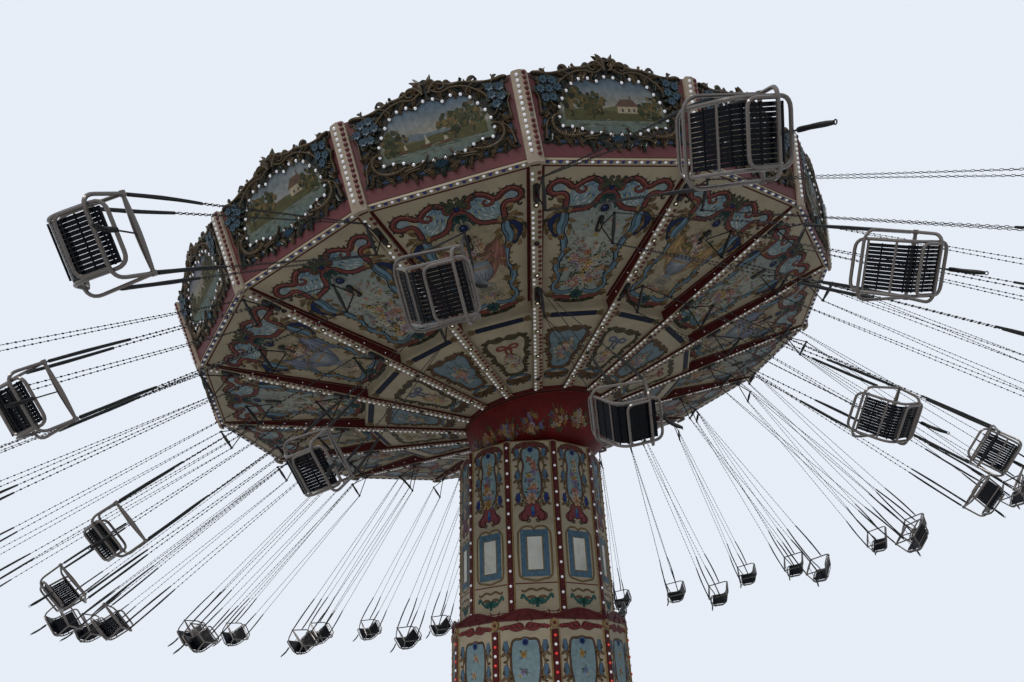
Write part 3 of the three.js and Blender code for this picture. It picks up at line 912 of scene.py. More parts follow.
def make_ribs():
    """Cream plate under each rib with a white and a dark red lamp row and ringed spot lamps between them; small white
    lamps on the rib's sides; black mounts at the hangers."""
    plates, spots, mounts, beads = Batch(), Batch(), Batch(), Batch()
    y = np.arange(1.45, 6.12, .090)
    ringed = np.arange(1.75, 6.0, .62)
    hung = np.array([ROWS["inner"][1], ROWS["outer"][1]])
    ringed = np.concatenate([ringed[np.min(np.abs(ringed[:, None] - hung), 1) > .33], hung - .205])
    y = y[(np.min(np.abs(y[:, None] - ringed), 1) > .050) & (np.min(np.abs(y[:, None] - hung), 1) > .165)]
    for k in range(BAYS):
        face = rib_face(k)
        art = Art().slab(box_outline(-PLATE_HALF, PLATE_HALF, 1.382, 6.148), 0.0, .003, CREAM, .003)
        plates.join(art.copies(face))
        edge = Art()
        # beads along the plate's edges: their tint is a painted highlight along the top over painted shade at the sides
        for x in (-.084, .084):
            edge.relief([(x, 1.39), (x, 6.14)], .007, .003, (.11, .05, .03), (.2, .10, .05), .003, 2)
        beads.join(edge.copies(face))
        light("lamp_white", face, Art().dots(column(-.050, y), .0240, .020, .003))
        light("lamp_red", face, Art().dots(column(.047, y), .0340, .014, .003))
        c = column(0.0, ringed)
        spots.join(Art().hoops(c, .032, .026, INK, .003).copies(face))
        lit = (np.arange(len(c)) + k) % 4 != 0
        light("lamp_warm", face, Art().dots(c[lit], .020, .012, .003, sides=8))
        light("lamp_red", face, Art().dots(c[~lit], .020, .006, .003, sides=8))
        for r in hung:
            mounts.join(Art().slab(mount_outline(r), .003, .045, INK, .012).copies(face))
        az = RIB_AZ + BAY * k
        for s in (-1, 1):
            for r in np.arange(3.7, 5.6, .42):
                z = (rib_line(r) + outer_line(r)) / 2

                def rib_side(p):
                    """x along the rib, y up, height off its side."""
                    return canopy(outward(az) * (r + s * p[:, :1]) + s * onward(az) * (.065 + p[:, 2:3])
                                  + np.array([0, 0, 1.0]) * (z + p[:, 1:2]))

                light("lamp_white", rib_side, Art().dots([(0, 0)], .011, .012))
    make("rib_plates", plates, "cream", "canopy", (), 20)
    make("rib_beads", beads, "dark_red", "canopy")
    make("spot_rings", spots, "black", "canopy")
    make("hanger_mounts", mounts, "black", "canopy", (), 20)
    mounts = Batch()
    for k in range(BAYS):
        mounts.join(Art().slab(mount_outline(ROWS["middle"][1]), .0, .035, INK, .012).copies(outer_panel(k)))
    make("panel_mounts", mounts, "black", "canopy", (), 20)


make_ribs()


def make_rim():
    """Lamps, alternately blue and white, along the rim strip and a dark red line outside them."""
    line = Batch()
    for k in range(BAYS):
        face = panel(RIB_AZ + BAY * (k + .5), lambda t: (t, 0.0))
        a = RIM_LAMP_R * CHORD
        half = RIM_LAMP_R * math.sin(BAY / 2) - .03
        x = np.linspace(-half, half, 27)
        x = (x[1:] + x[:-1]) / 2
        light("lamp_white", face, Art().dots(np.stack([x[::2], 0 * x[::2] + a], 1), .0255, .022, .0))
        light("lamp_blue", face, Art().dots(np.stack([x[1::2], 0 * x[1::2] + a], 1), .0320, .020, .0))
        edge = RIM_LINE_R * CHORD
        ends = [(-half - .03, edge), (half + .03, edge)]
        line.join(Art().relief(ends, .010, .006, DARK_RED, DARK_RED, 0.0, 3).copies(face))
    make("rim_line", line, "dark_red", "canopy")


make_rim()


def make_pilasters():
    """Folded cream post at each corner: a six-cornered section carried up the lean, its width drawn in a little at
    the flat top; white lamps left and dark red lamps right of the fold."""
    posts, sockets = Batch(), Batch()
    fold = math.tan(BAY / 2)
    proud, thick = .028, .023
    z = np.array([-.055, .05, 1.205, 1.228, 1.240, 1.246])
    w = np.array([.115, .115, .115, .110, .098, .080])
    for k in range(BAYS):
        az = RIB_AZ + BAY * k
        o, s = outward(az), -onward(az)
        rings = []
        for zz, ww in zip(z, w):
            r = RIM_R + proud + (zz - .045) * LEAN
            sec = [(-ww, thick - ww * fold), (0, thick), (ww, thick - ww * fold),
                   (ww, -thick - ww * fold), (0, -thick), (-ww, -thick - ww * fold)]
            rings.append([(r + b) * o + a * s + np.array([0, 0, zz]) for a, b in sec])
        pts = np.array(rings).reshape(-1, 3)
        n = len(z)
        pts = np.vstack([pts, pts[:6].mean(0), pts[-6:].mean(0)])
        j = np.arange(6)
        m = (j + 1) % 6
        faces = [grid_faces(n, 6, False, True), np.stack([np.full(6, 6 * n), m, j], 1),
                 np.stack([np.full(6, 6 * n + 1), 6 * (n - 1) + j, 6 * (n - 1) + m], 1)]
        posts.add(canopy(pts), faces, CREAM)
        for side, colour, count, low, high in ((-1, "lamp_white", 14, .105, 1.175), (1, "lamp_red", 16, .055, 1.205)):
            turn = az - side * BAY / 2

            def flank(p):
                """x across the flank from the fold, y the level, height off the flank."""
                oo, ss = outward(turn), -onward(turn)
                r = RIM_R + proud + (p[:, 1:2] - .045) * LEAN
                return canopy(o * (r + thick / CHORD) + ss * p[:, :1] + oo * p[:, 2:3]
                              + np.array([0, 0, 1.0]) * (p[:, 1:2] - p[:, 2:3] * LEAN))

            zz = np.linspace(low, high, count)
            across, size = (-.038, .0260) if side < 0 else (.066, .0335)
            if k == 0 and side > 0:
                # one red lamp is missing, its socket shows
                socket = Art().spot((across, zz[7]), .020, (.20, .17, .14), .002, 10, (.09, .075, .06), .006)
                sockets.join(socket.copies(flank))
                zz = np.delete(zz, 7)
            light(colour, flank, Art().dots(column(across, zz), size, .022, .0, fine=True))
    make("empty_lamp_socket", sockets, "tinted", "canopy", (), 0)
    make("pilasters", posts, "pilaster", "canopy", ("corner_pilasters",), 25)


make_pilasters()


# upper edge of a board from its middle to its corner: x across, y above the rim
BOARD_EDGE = [(0, 1.530), (.10, 1.490), (.20, 1.420), (.30, 1.372), (.38, 1.347), (.50, 1.333), (.65, 1.295),
              (.80, 1.262), (.95, 1.243), (1.08, 1.258), (BOARD_HALF, 1.262)]


def board_edge(x):
    """Height of the board's upper edge at distance x from its middle."""
    line = smooth_line(BOARD_EDGE, 160)
    return np.interp(np.abs(x), line[:, 0], line[:, 1])


def make_boards():
    """Leaning board of each bay, 36 mm thick, its upper edge just under the carved crest."""
    boards = Batch()
    n, foot, thick = 33, .0465, .036
    x = np.linspace(-1, 1, n)
    crest = board_edge(BOARD_HALF * x) - .012 - BOARD_H
    for k in range(BAYS):
        a0, a1 = RIB_AZ + BAY * k, RIB_AZ + BAY * (k + 1)
        rows = []
        for off, z in ((0.0, foot + 0 * x), (0.0, BOARD_H + crest), (-thick, BOARD_H + crest), (-thick, foot + 0 * x)):
            r = (RIM_R - .001 + off + (z - .045) * LEAN)[:, None]
            f = ((x + 1) / 2)[:, None]
            p = r * outward(a1) * (1 - f) + r * outward(a0) * f
            p[:, 2] = z
            rows.append(p)
        pts = np.array(rows).reshape(-1, 3)
        boards.add(canopy(pts), grid_faces(4, n, True, False)[:, ::-1], MAROON)
        for j in (0, n - 1):
            ends = np.array([[j, n + j, 2 * n + j, 3 * n + j]])
            boards.add(canopy(pts), ends if j == 0 else ends[:, ::-1], MAROON)
    make("rounding_board_panels", boards, "board", "canopy", ("rounding_boards",), 30)


make_boards()


# the bowl is drawn this much narrower than its line
BOWL_IN = .996
# radius that turns a length along the bowl into an angle
BOWL_R = 1.35


def bowl_line(s):
    """Radius and height along the bowl's profile, s from 0 at the rim to 1 at the bottom."""
    pts = np.array([(1.424, -1.092), (1.427, -1.250), (1.362, -1.625), (1.180, -1.872), (.756, -2.138)])
    n = 60
    line = smooth_line(pts, n)
    u = np.asarray(s, float) * (n - 1)
    return np.stack([np.interp(u, np.arange(n), line[:, i]) for i in (0, 1)], -1)


def make_collar():
    """Red bowl: its profile turned about the axis, with a wall 14 mm thick."""
    b = Batch()
    n, wall = 96, .014
    prof = bowl_line(np.linspace(0, 1, 22)) * [BOWL_IN, 1]
    inner = prof[::-1] - np.array([wall, 0])
    ring = np.vstack([prof, inner])
    a = 2 * math.pi * np.arange(n) / n
    pts = np.stack([-ring[:, :1] * np.sin(a), -ring[:, :1] * np.cos(a), np.repeat(ring[:, 1:], n, 1)], 2)
    b.add(canopy(pts.reshape(-1, 3)), grid_faces(len(ring), n, True, True), MAROON)
    make("collar_bowl", b, "collar", "canopy", ("collar",), 30)


make_collar()


def make_drum_crown():
    """Crown of the drum: a closed ring section whose top rises and falls with each face."""
    b = Batch()
    per_face, bore, wall, foot = 20, 1.400, 1.541, 3.0105
    n = FACES * per_face
    a = DRUM_AZ + 2 * math.pi * np.arange(n) / n
    u = (np.arange(n) % per_face) / per_face
    lift = .097 * (.5 - .5 * np.cos(2 * math.pi * u)) ** .8
    flat = math.cos(FACE / 2) / np.cos((u - .5) * FACE)
    out = (wall * flat) + lift * .08
    rows = [(bore + 0 * a, foot + 0 * a), (wall * flat, foot + 0 * a), (out, 3.086 + lift),
            (out - .02, 3.090 + lift), (bore + 0 * a, 3.062 + lift)]
    pts = np.concatenate([np.stack([-r * np.sin(a), -r * np.cos(a), z], 1) for r, z in rows])
    b.add(pts, grid_faces(len(rows), n, True, True)[:, ::-1], DARK_RED)
    make("drum_crown_ring", b, "dark_red", "base", ("drum_crown",), 30)


make_drum_crown()


# painted and carved work

BROWN = (.16, .095, .05)
GOLD_BROWN = (.30, .20, .10)
BLACK_GREEN = (.018, .022, .016)
FLOWERS = [(.46, .17, .13), (.50, .30, .20), (.50, .38, .34), (.42, .24, .06), (.22, .19, .36), (.14, .22, .40),
           (.48, .42, .28), (.34, .08, .07), (.44, .34, .10)]


def both_sides(half):
    """A half design with its mirror image about the middle line."""
    out = Art()
    out.join(half)
    out.join(half.copies(lambda p: p * np.array([-1.0, 1.0, 1.0]), True))
    return out


def bouquet(art, c, sx, sy, count, seed, h=.003, size=.045, colours=FLOWERS, spread=.8):
    """Leaves, then flowers over them, strewn over an ellipse, thickest and largest in the middle."""
    g = np.random.default_rng(seed)
    c = np.asarray(c, float)
    for i in range(int(count * 1.6)):
        a, r = g.uniform(0, 360), g.uniform(.3, 1.05)
        p = c + r * np.array([sx * math.cos(math.radians(a)), sy * math.sin(math.radians(a))])
        green = np.array([(.05, .08, .03), (.09, .10, .04), (.04, .06, .05), (.12, .11, .05)][i % 4])
        art.leaf(p, a + g.uniform(-50, 50), size * g.uniform(.9, 1.7), size * .35, green, h + 6e-5 * i,
                 g.uniform(-9, 9), n=4)
    for i in range(count):
        a, r = g.uniform(0, 2 * math.pi), g.uniform(0, 1) ** spread
        p = c + r * np.array([sx * math.cos(a), sy * math.sin(a)])
        petal = np.array(colours[g.integers(len(colours))]) * g.uniform(.8, 1.15)
        art.blossom(p, size * (1.15 - .55 * r) * g.uniform(.7, 1.1), petal,
                    (.30, .20, .05) if i % 3 else (.10, .04, .03), h + .0045 + .0003 * (count - i), 5 + i % 2,
                    g.uniform(0, 6))
    return art


def curl_end(art, c, angle, size, width, tint, h, side):
    """A band that winds up into a small volute."""
    path = curl(c, angle, size, side * 2.0 / size, side * 9.0 / size, 9, 1.4)
    art.band(path, width * np.linspace(1, .35, 9), tint, h, edge=INK, edge_w=.008)
    return art


def fringe(art, path, side, size, tints, h):
    """Small curled leaves along one side of a path; each leans forward, and their sizes rise and fall by turns."""
    lean = 52
    ahead = np.gradient(path, axis=0)
    for i, (c, v) in enumerate(zip(path, ahead)):
        a = math.degrees(math.atan2(v[1], v[0])) + side * lean
        art.leaf(c, a, size * (1.0, .68, .84)[i % 3], size * .40, tints[i % len(tints)], h + .0001 * (i % 7), side * 10,
                 INK, 4)
    return art


FRINGE = [(.20, .130, .062), (.13, .085, .044), (.27, .185, .085), (.055, .052, .032)]
FRINGE_DARK = [(.030, .036, .026), (.060, .052, .030), (.022, .030, .026), (.085, .060, .032)]


def soffit_surround(red, blue):
    """Ribbon cartouche of an outer panel: red scrolls round a mottled field at the top, blue ribbons with brown leaves
    down both sides, a rosette between short ribbons at the foot. x across the panel, y the distance from the axis."""
    g = np.random.default_rng(5)
    half = Art()
    main = smooth_line([(-.05, 5.60), (-.14, 5.72), (-.30, 5.79), (-.47, 5.71), (-.58, 5.62), (-.61, 5.45),
                        (-.60, 5.26), (-.40, 5.28), (-.25, 5.36), (-.16, 5.48)], 34, True)
    half.fill(main, (.21, .29, .32), .0012, middle=(-.36, 5.50))
    half.spot((-.79, 5.655), .085, (.24, .30, .32), .0012, 12, sx=1.25)
    for i in range(46):
        c = np.array([-.36, 5.52]) + np.array([.24, .19]) * g.uniform(-1, 1, 2)
        half.leaf(c, g.uniform(10, 90), .095, .028,
                  [(.06, .13, .24), (.52, .53, .48), (.42, .36, .16), (.09, .17, .26), (.45, .47, .45)][i % 5],
                  .0014 + 1e-5 * i, n=3)
    top = smooth_line([(0, 5.60), (-.12, 5.71), (-.22, 5.79), (-.33, 5.82), (-.45, 5.76), (-.53, 5.68), (-.60, 5.68),
                       (-.68, 5.745), (-.80, 5.78), (-.905, 5.71), (-.915, 5.61), (-.83, 5.55), (-.70, 5.565),
                       (-.635, 5.50), (-.615, 5.38), (-.61, 5.22)], 38)
    low = smooth_line([(-.02, 5.61), (-.13, 5.51), (-.19, 5.39), (-.30, 5.30), (-.45, 5.275), (-.60, 5.23)], 16)
    fringe(half, even(top, 25)[5:], -1, .100, FRINGE, .0018)
    fringe(half, even(low, 9)[1:], 1, .080, FRINGE, .0018)
    half.band(top, .066, red, .0030, edge=INK, edge_w=.018)
    half.band(low, .062, red, .0036, edge=INK, edge_w=.017)
    half.band(top[3:34] + [0, .016], .012, tuple(c * 1.7 for c in red), .0032)
    half.band(top[3:34] + [0, -.018], .014, tuple(c * .45 for c in red), .0032)
    curl_end(half, (-.53, 5.69), -85, .32, .062, red, .0042, 1)
    curl_end(half, (-.14, 5.74), 215, .24, .056, red, .0044, 1)
    curl_end(half, (-.92, 5.64), 160, .15, .026, BLACK_GREEN, .0024, -1)
    curl_end(half, (-.86, 5.53), -40, .15, .024, BLACK_GREEN, .0024, -1)
    # leaf crown between the shoulders, with tendrils over it
    for i, (a, l) in enumerate(((95, .11), (120, .14), (142, .16), (162, .19), (180, .20), (196, .15))):
        half.leaf((-.02, 5.72), a, l, .044, [(.050, .066, .040), (.085, .072, .036), (.032, .052, .040)][i % 3],
                  .0046 + .0001 * i, 6, INK, 5)
    for i in range(6):
        curl_end(half, (-.02 - .048 * i, 5.815 - .006 * i), 82 + 20 * i, .115, .017, (.060, .072, .045),
                 .0054 + .0001 * i, -1 if i % 2 else 1)
    for a, l in ((-100, .16), (-125, .15), (-150, .12)):
        half.leaf((-.01, 5.55), a, l, .055, (.025, .060, .055), .0046, -4, INK)
    half.ribbon([(-.01, 5.42), (-.08, 5.43), (-.14, 5.37), (-.16, 5.30)], 10, .028, (.03, .08, .075), .0048)
    half.ribbon([(-.01, 5.39), (-.06, 5.37), (-.085, 5.30), (-.06, 5.24)], 10, .018, (.20, .22, .21), .0052)
    # field and side ribbons
    side = smooth_line([(-.60, 5.22), (-.58, 5.08), (-.60, 4.95), (-.56, 4.82), (-.49, 4.70), (-.455, 4.55),
                        (-.44, 4.40), (-.49, 4.26), (-.475, 4.12), (-.41, 4.00), (-.40, 3.88), (-.43, 3.76),
                        (-.40, 3.64)], 38)
    wide = .066 + .085 * np.exp(-((np.linspace(0, 1, 38) - .14) / .09) ** 2) + .022 * np.cos(np.linspace(0, 19, 38))
    fringe(half, even(side, 17)[6:], -1, .115, FRINGE, .0020)
    fringe(half, even(side, 15)[5:], 1, .075, FRINGE_DARK, .0020)
    half.band(side, wide, blue, .0030, edge=INK, edge_w=.018)
    half.band(side + [-.018, 0], wide * .30, tuple(c * 1.35 for c in blue), .0032)
    half.band(side + [.024, 0], wide * .16, tuple(c * .45 for c in blue), .0033)
    half.ribbon([(-.40, 3.63), (-.31, 3.575), (-.20, 3.575), (-.08, 3.62)], 14, .066, blue, .0034, .013)
    foot = smooth_line([(-.44, 3.545), (-.34, 3.475), (-.22, 3.465), (-.08, 3.43)], 14)
    half.band(foot, .085 * np.linspace(.6, 1, 14), red, .0030, edge=INK, edge_w=.013)
    # deep blue wing with brown leaves outside the shoulder
    wing = smooth_line([(-.63, 5.20), (-.75, 5.18), (-.81, 5.08), (-.78, 4.95), (-.70, 4.84), (-.63, 4.76),
                        (-.64, 4.95)], 24, True)
    half.fill(wing, (.016, .028, .090), .0020, INK, .013, (-.71, 5.04))
    for i, (x, y, a) in enumerate([(-.62, 5.27, 170), (-.66, 5.24, 160), (-.76, 5.20, 200), (-.82, 5.12, 215),
                                   (-.82, 5.02, 235), (-.78, 4.93, 240), (-.71, 4.83, 250), (-.66, 5.14, 225),
                                   (-.69, 5.04, 245), (-.68, 4.94, 260), (-.56, 5.23, 40), (-.56, 5.21, 100),
                                   (-.50, 5.12, -60), (-.47, 5.02, -95), (-.45, 4.92, -110)]):
        half.leaf((x, y), a, .135, .056, FRINGE[i % 4], .0040 + .0001 * i, 9, INK, 5)
    for i, (x, y, a) in enumerate(((-.66, 5.40, 165), (-.66, 5.48, 140), (-.67, 5.33, 195), (-.74, 5.30, 170),
                                   (-.68, 5.56, 200))):
        half.leaf((x, y), a, .15, .060, FRINGE[(i + 1) % 3], .0024 + .0001 * i, 8 if i % 2 else -8, INK, 5)
    # leaf clusters that lap over the ribbon, outside and inside by turns
    for i, (x, y, a, s) in enumerate(((-.50, 4.78, 205, -1), (-.44, 4.50, -15, 1), (-.49, 4.28, 200, -1),
                                      (-.42, 4.10, -25, 1), (-.42, 3.92, 195, -1), (-.41, 3.74, -10, 1),
                                      (-.42, 3.56, 215, -1))):
        for j in (-1, 0, 1):
            half.leaf((x, y), a + 42 * j, .135 - .03 * abs(j), .058, FRINGE[(i + j) % 3],
                      .0040 + .0002 * j + .00005 * i, 5 * s, INK, 5)
        curl_end(half, (x, y - .02), a + 60 * s, .15, .026, FRINGE[1], .0046, -s)
    for i in range(8):
        half.leaf((-.04 * i, 3.405), 262 - 11 * i, .13 - .008 * i, .048,
                  [BLACK_GREEN, (.06, .045, .02), (.035, .05, .035)][i % 3], .0040 + .0001 * i, -4, INK)
    art = both_sides(half)
    art.spot((0, 5.665), .038, DEEP_BLUE, .0056, 10, INK, .012)
    art.spot((0, 5.30), .058, DEEP_BLUE, .0056, 12, INK, .016, .85)
    art.spot((-.012, 5.32), .018, (.12, .17, .30), .0060, 6)
    for i in range(10):
        art.leaf((0, 3.52), 36 * i, .125, .055, (.025, .075, .065) if i % 2 else (.022, .045, .036), .0048 + .00005 * i,
                 3, INK)
    art.spot((0, 3.52), .032, DEEP_BLUE, .0062, 8, INK)
    return art


FIELD = [(-.60, 5.25), (-.56, 5.05), (-.585, 4.9), (-.53, 4.74), (-.45, 4.6), (-.43, 4.42), (-.47, 4.26), (-.44, 4.10),
         (-.39, 3.98), (-.385, 3.84), (-.41, 3.72), (-.34, 3.60), (-.15, 3.58), (0, 3.60)]


def soffit_field(tint, mid):
    half = np.array(FIELD)
    outline = np.vstack([half, half[-2::-1] * [-1, 1], [(.30, 5.36), (.10, 5.40), (-.10, 5.40), (-.30, 5.36)]])
    return Art().fill(outline, tint, .0008, middle=(0, 4.45), tint_mid=mid)


def ribbon_bow(art, c, size, tint, h):
    """A tied ribbon: two loops and two hanging ends about a knot."""
    c = np.asarray(c, float)
    for s in (-1, 1):
        loop = c + size * np.array([(0, 0), (.45 * s, .30), (.85 * s, .22), (.80 * s, -.10), (.40 * s, -.12), (0, 0)])
        art.ribbon(loop, 20, size * .20, tint, h, .006)
        end = c + size * np.array([(0, 0), (.25 * s, -.40), (.15 * s, -.75), (.40 * s, -1.1)])
        art.ribbon(end, 12, size * .17, tuple(v * .8 for v in tint), h + .0006, .006)
    art.spot(c, size * .14, tint, h + .0014, 8, INK)
    return art


PASTEL = [(.52, .27, .20), (.56, .38, .24), (.60, .53, .42), (.50, .37, .12), (.33, .27, .37), (.46, .26, .27),
          (.60, .55, .44), (.46, .20, .13)]


def urn_design(seed):
    """Generic motif for every other panel: flowers in a footed urn on a plinth, in front of a hung cloth whose folds
    are bands sagging one below the other."""
    art = Art()
    cloth = np.array([(.27, .125, .100), (.17, .19, .25), (.33, .22, .10), (.24, .07, .075),
                      (.26, .23, .19)][seed // 2 % 5])
    x = np.linspace(-1, 1, 17)
    for i in range(8):
        fold = np.stack([.43 * x * (1 - .02 * i), 4.98 - .055 * i - (.20 + .035 * i) * (1 - x ** 2)], 1)
        art.band(fold, (.060 + .012 * math.sin(2.3 * i)) * (.55 + .45 * (1 - x ** 2)),
                 cloth * (.62, 1.0, 1.25, .85)[i % 4], .0022 + .00015 * i, edge=(.05, .03, .025), edge_w=.004)
    for s in (-1, 1):
        for i in range(4):
            line = smooth_line([(s * .44, 5.00), (s * (.45 - .035 * i), 4.72), (s * (.43 - .045 * i), 4.50 + .03 * i),
                                (s * (.40 - .04 * i), 4.34 + .05 * i)], 9)
            art.band(line, .042, cloth * (.7, 1.1, .9, 1.3)[i], .0040 + .0001 * i, edge=(.05, .03, .025), edge_w=.004)
        art.blossom((s * .44, 4.99), .060, (.22, .16, .06), (.10, .05, .02), .0050, 6, seed)
    art.fill(box_outline(-.20, .20, 3.78, 3.86), (.24, .21, .16), .0046, INK, .006)
    art.fill(box_outline(-.155, .155, 3.86, 4.06), (.29, .26, .20), .0048, INK, .006)
    art.fill(box_outline(-.10, .10, 3.90, 4.02), (.20, .18, .14), .0050)
    art.fill([(-.10, 4.06), (.10, 4.06), (.035, 4.17), (-.035, 4.17)], (.20, .22, .24), .0050, INK, .006)
    cup = smooth_line([(-.05, 4.16), (-.15, 4.24), (-.20, 4.38), (-.18, 4.52), (-.12, 4.60), (.12, 4.60), (.18, 4.52),
                       (.20, 4.38), (.15, 4.24), (.05, 4.16)], 30, True)
    art.fill(cup, (.15, .18, .22), .0052, INK, .009, tint_mid=(.34, .36, .37))
    for c in np.linspace(-.12, .12, 5):
        art.band(smooth_line([(c * .4, 4.18), (c, 4.27), (c * 1.15, 4.40)], 6), [.006, .014, .016, .014, .010, .004],
                 (.10, .12, .16), .0054)
    art.band([(-.185, 4.44), (.185, 4.44)], .036, GOLD_BROWN, .0056, edge=INK, edge_w=.004)
    art.band([(-.15, 4.61), (.15, 4.61)], .030, GOLD_BROWN, .0056, edge=INK, edge_w=.004)
    for s in (-1, 1):
        curl_end(art, (s * .17, 4.54), 50 if s > 0 else 130, .26, .024, GOLD_BROWN, .0052, -s)
    bouquet(art, (0, 4.86), .27, .22, 44, seed, .0060, .058, PASTEL)
    bouquet(art, (0, 3.80), .30, .07, 14, seed + 50, .0060, .045, PASTEL)
    return art


def make_outer_soffit():
    red, blue = (.180, .054, .048), (.115, .190, .250)
    plain = soffit_surround(red, blue)
    frames, paint = Batch(), Batch()
    for k in range(BAYS):
        face = outer_panel(k)
        frames.join(plain.copies(face))
        if k % 2:
            art = soffit_field((.26, .30, .285), (.38, .38, .32))
            bouquet(art, (0, 4.76), .37, .44, 30, 40 + k, .0016, .046, PASTEL, .5)
            bouquet(art, (0, 4.22), .33, .38, 44, 60 + k, .0050, .070, PASTEL, .55)
            bouquet(art, (0, 3.86), .29, .15, 20, 80 + k, .0150, .080, PASTEL, .55)
        else:
            art = soffit_field((.33, .275, .185), (.40, .345, .245))
            art.join(urn_design(k))
        paint.join(art.copies(face))
        border = Art()
        slope = math.tan(BAY / 2)
        for s in (-1, 1):
            border.band([(s * (t * slope - .100), t) for t in (3.43, 6.02)], .052, (.085, .014, .014), .001)
        border.band([(s * (6.02 * slope - .09), 6.02) for s in (-1, 1)], .024, (.085, .014, .014), .0012)
        frames.join(border.copies(face))
    make("soffit_scrollwork_outer", frames, "tinted", "canopy", (), 0)
    make("soffit_paintings_outer", paint, "tinted", "canopy", (), 0)


def make_inner_soffit():
    """Small cartouche with bouquet or ribbon, a basket at its foot and a blue bar with gilt leaf ends at the step."""
    frames, paint = Batch(), Batch()
    for k in range(BAYS):
        face = inner_panel(k)
        flowery = k % 2 == 1
        edge = (.13, .075, .042) if flowery else (.085, .070, .040)
        fill_tint = (.15, .21, .24) if flowery else (.38, .33, .23)
        half = Art()
        shape = [(0, 2.90), (-.16, 2.86), (-.27, 2.90), (-.36, 2.78), (-.33, 2.62), (-.27, 2.50), (-.28, 2.36),
                 (-.20, 2.22), (-.19, 2.08), (-.13, 1.96), (0, 1.93)]
        line = smooth_line(shape, 40)
        fringe(half, even(line, 18)[1:], -1, .100, FRINGE if flowery else FRINGE_DARK, .0020)
        half.band(line, .040 + .012 * np.sin(np.linspace(0, 22, 40)), edge, .0030, edge=INK, edge_w=.012)
        for i in range(9):
            p = line[2 + 4 * i]
            a = 115 + 8 * i
            half.leaf(p, a, .105 - .004 * i, .042, edge if i % 2 else tuple(v * .6 for v in edge), .0034 + .0001 * i, 8,
                      INK)
            if i > 3:
                curl_end(half, p, a + 30, .09, .016, edge, .0040, -1)
        for i in range(5):
            half.leaf((-.03 - .055 * i, 2.90), 120 + 8 * i, .10, .045, edge, .0042 + .0001 * i, 6, INK)
        half.ribbon([(-.02, 1.88), (-.15, 1.86), (-.20, 1.76), (-.15, 1.66)], 14, .045, (.08, .16, .23), .0036, .009)
        for i in range(6):
            half.leaf((-.02 * i, 1.80), 265 - 17 * i, .22 - .015 * i, .055,
                      [(.10, .06, .035), (.05, .045, .025), (.15, .08, .04)][i % 3], .0042 + .0001 * i, -3, INK)
        half.band([(0, 3.235), (-.41, 3.235)], .082, (.011, .018, .042), .0026, edge=(.030, .024, .018), edge_w=.014)
        for a in (155, 180, 205):
            half.leaf((-.41, 3.235), a, .14, .060, (.20, .135, .068), .0032, 0, INK)
        frames.join(both_sides(half).copies(face))
        outline = np.vstack([line, line[-2:0:-1] * [-1, 1]])
        art = Art().fill(outline, fill_tint, .0014, middle=(0, 2.5), tint_mid=tuple(v * 1.15 for v in fill_tint))
        if flowery:
            bouquet(art, (0, 2.42), .18, .30, 30, 80 + k, .0020, .050, PASTEL)
        else:
            ribbon_bow(art, (0, 2.66), .20, [(.26, .07, .06), (.13, .15, .22), (.28, .20, .09)][k // 2 % 3], .0030)
            bouquet(art, (0, 2.28), .15, .20, 20, 90 + k, .0034, .048, PASTEL)
        paint.join(art.copies(face))
    make("soffit_scrollwork_inner", frames, "tinted", "canopy", (), 0)
    make("soffit_paintings_inner", paint, "tinted", "canopy", (), 0)


make_outer_soffit()
make_inner_soffit()

# right half of the painted field of a board, from its foot round to its crown: x across, y above the rim
PICTURE = [(0, .36), (.13, .365), (.26, .385), (.36, .378), (.45, .42), (.55, .455), (.66, .468), (.755, .462),
           (.805, .55), (.79, .66), (.78, .77), (.725, .87), (.66, .97), (.61, 1.05), (.53, 1.12), (.43, 1.175),
           (.33, 1.188), (.25, 1.165), (.20, 1.135), (.13, 1.18), (.06, 1.212), (0, 1.218)]


def picture_line(n):
    half = np.array(PICTURE)
    return smooth_line(np.vstack([half, half[-2:0:-1] * [-1, 1]]), n, True)


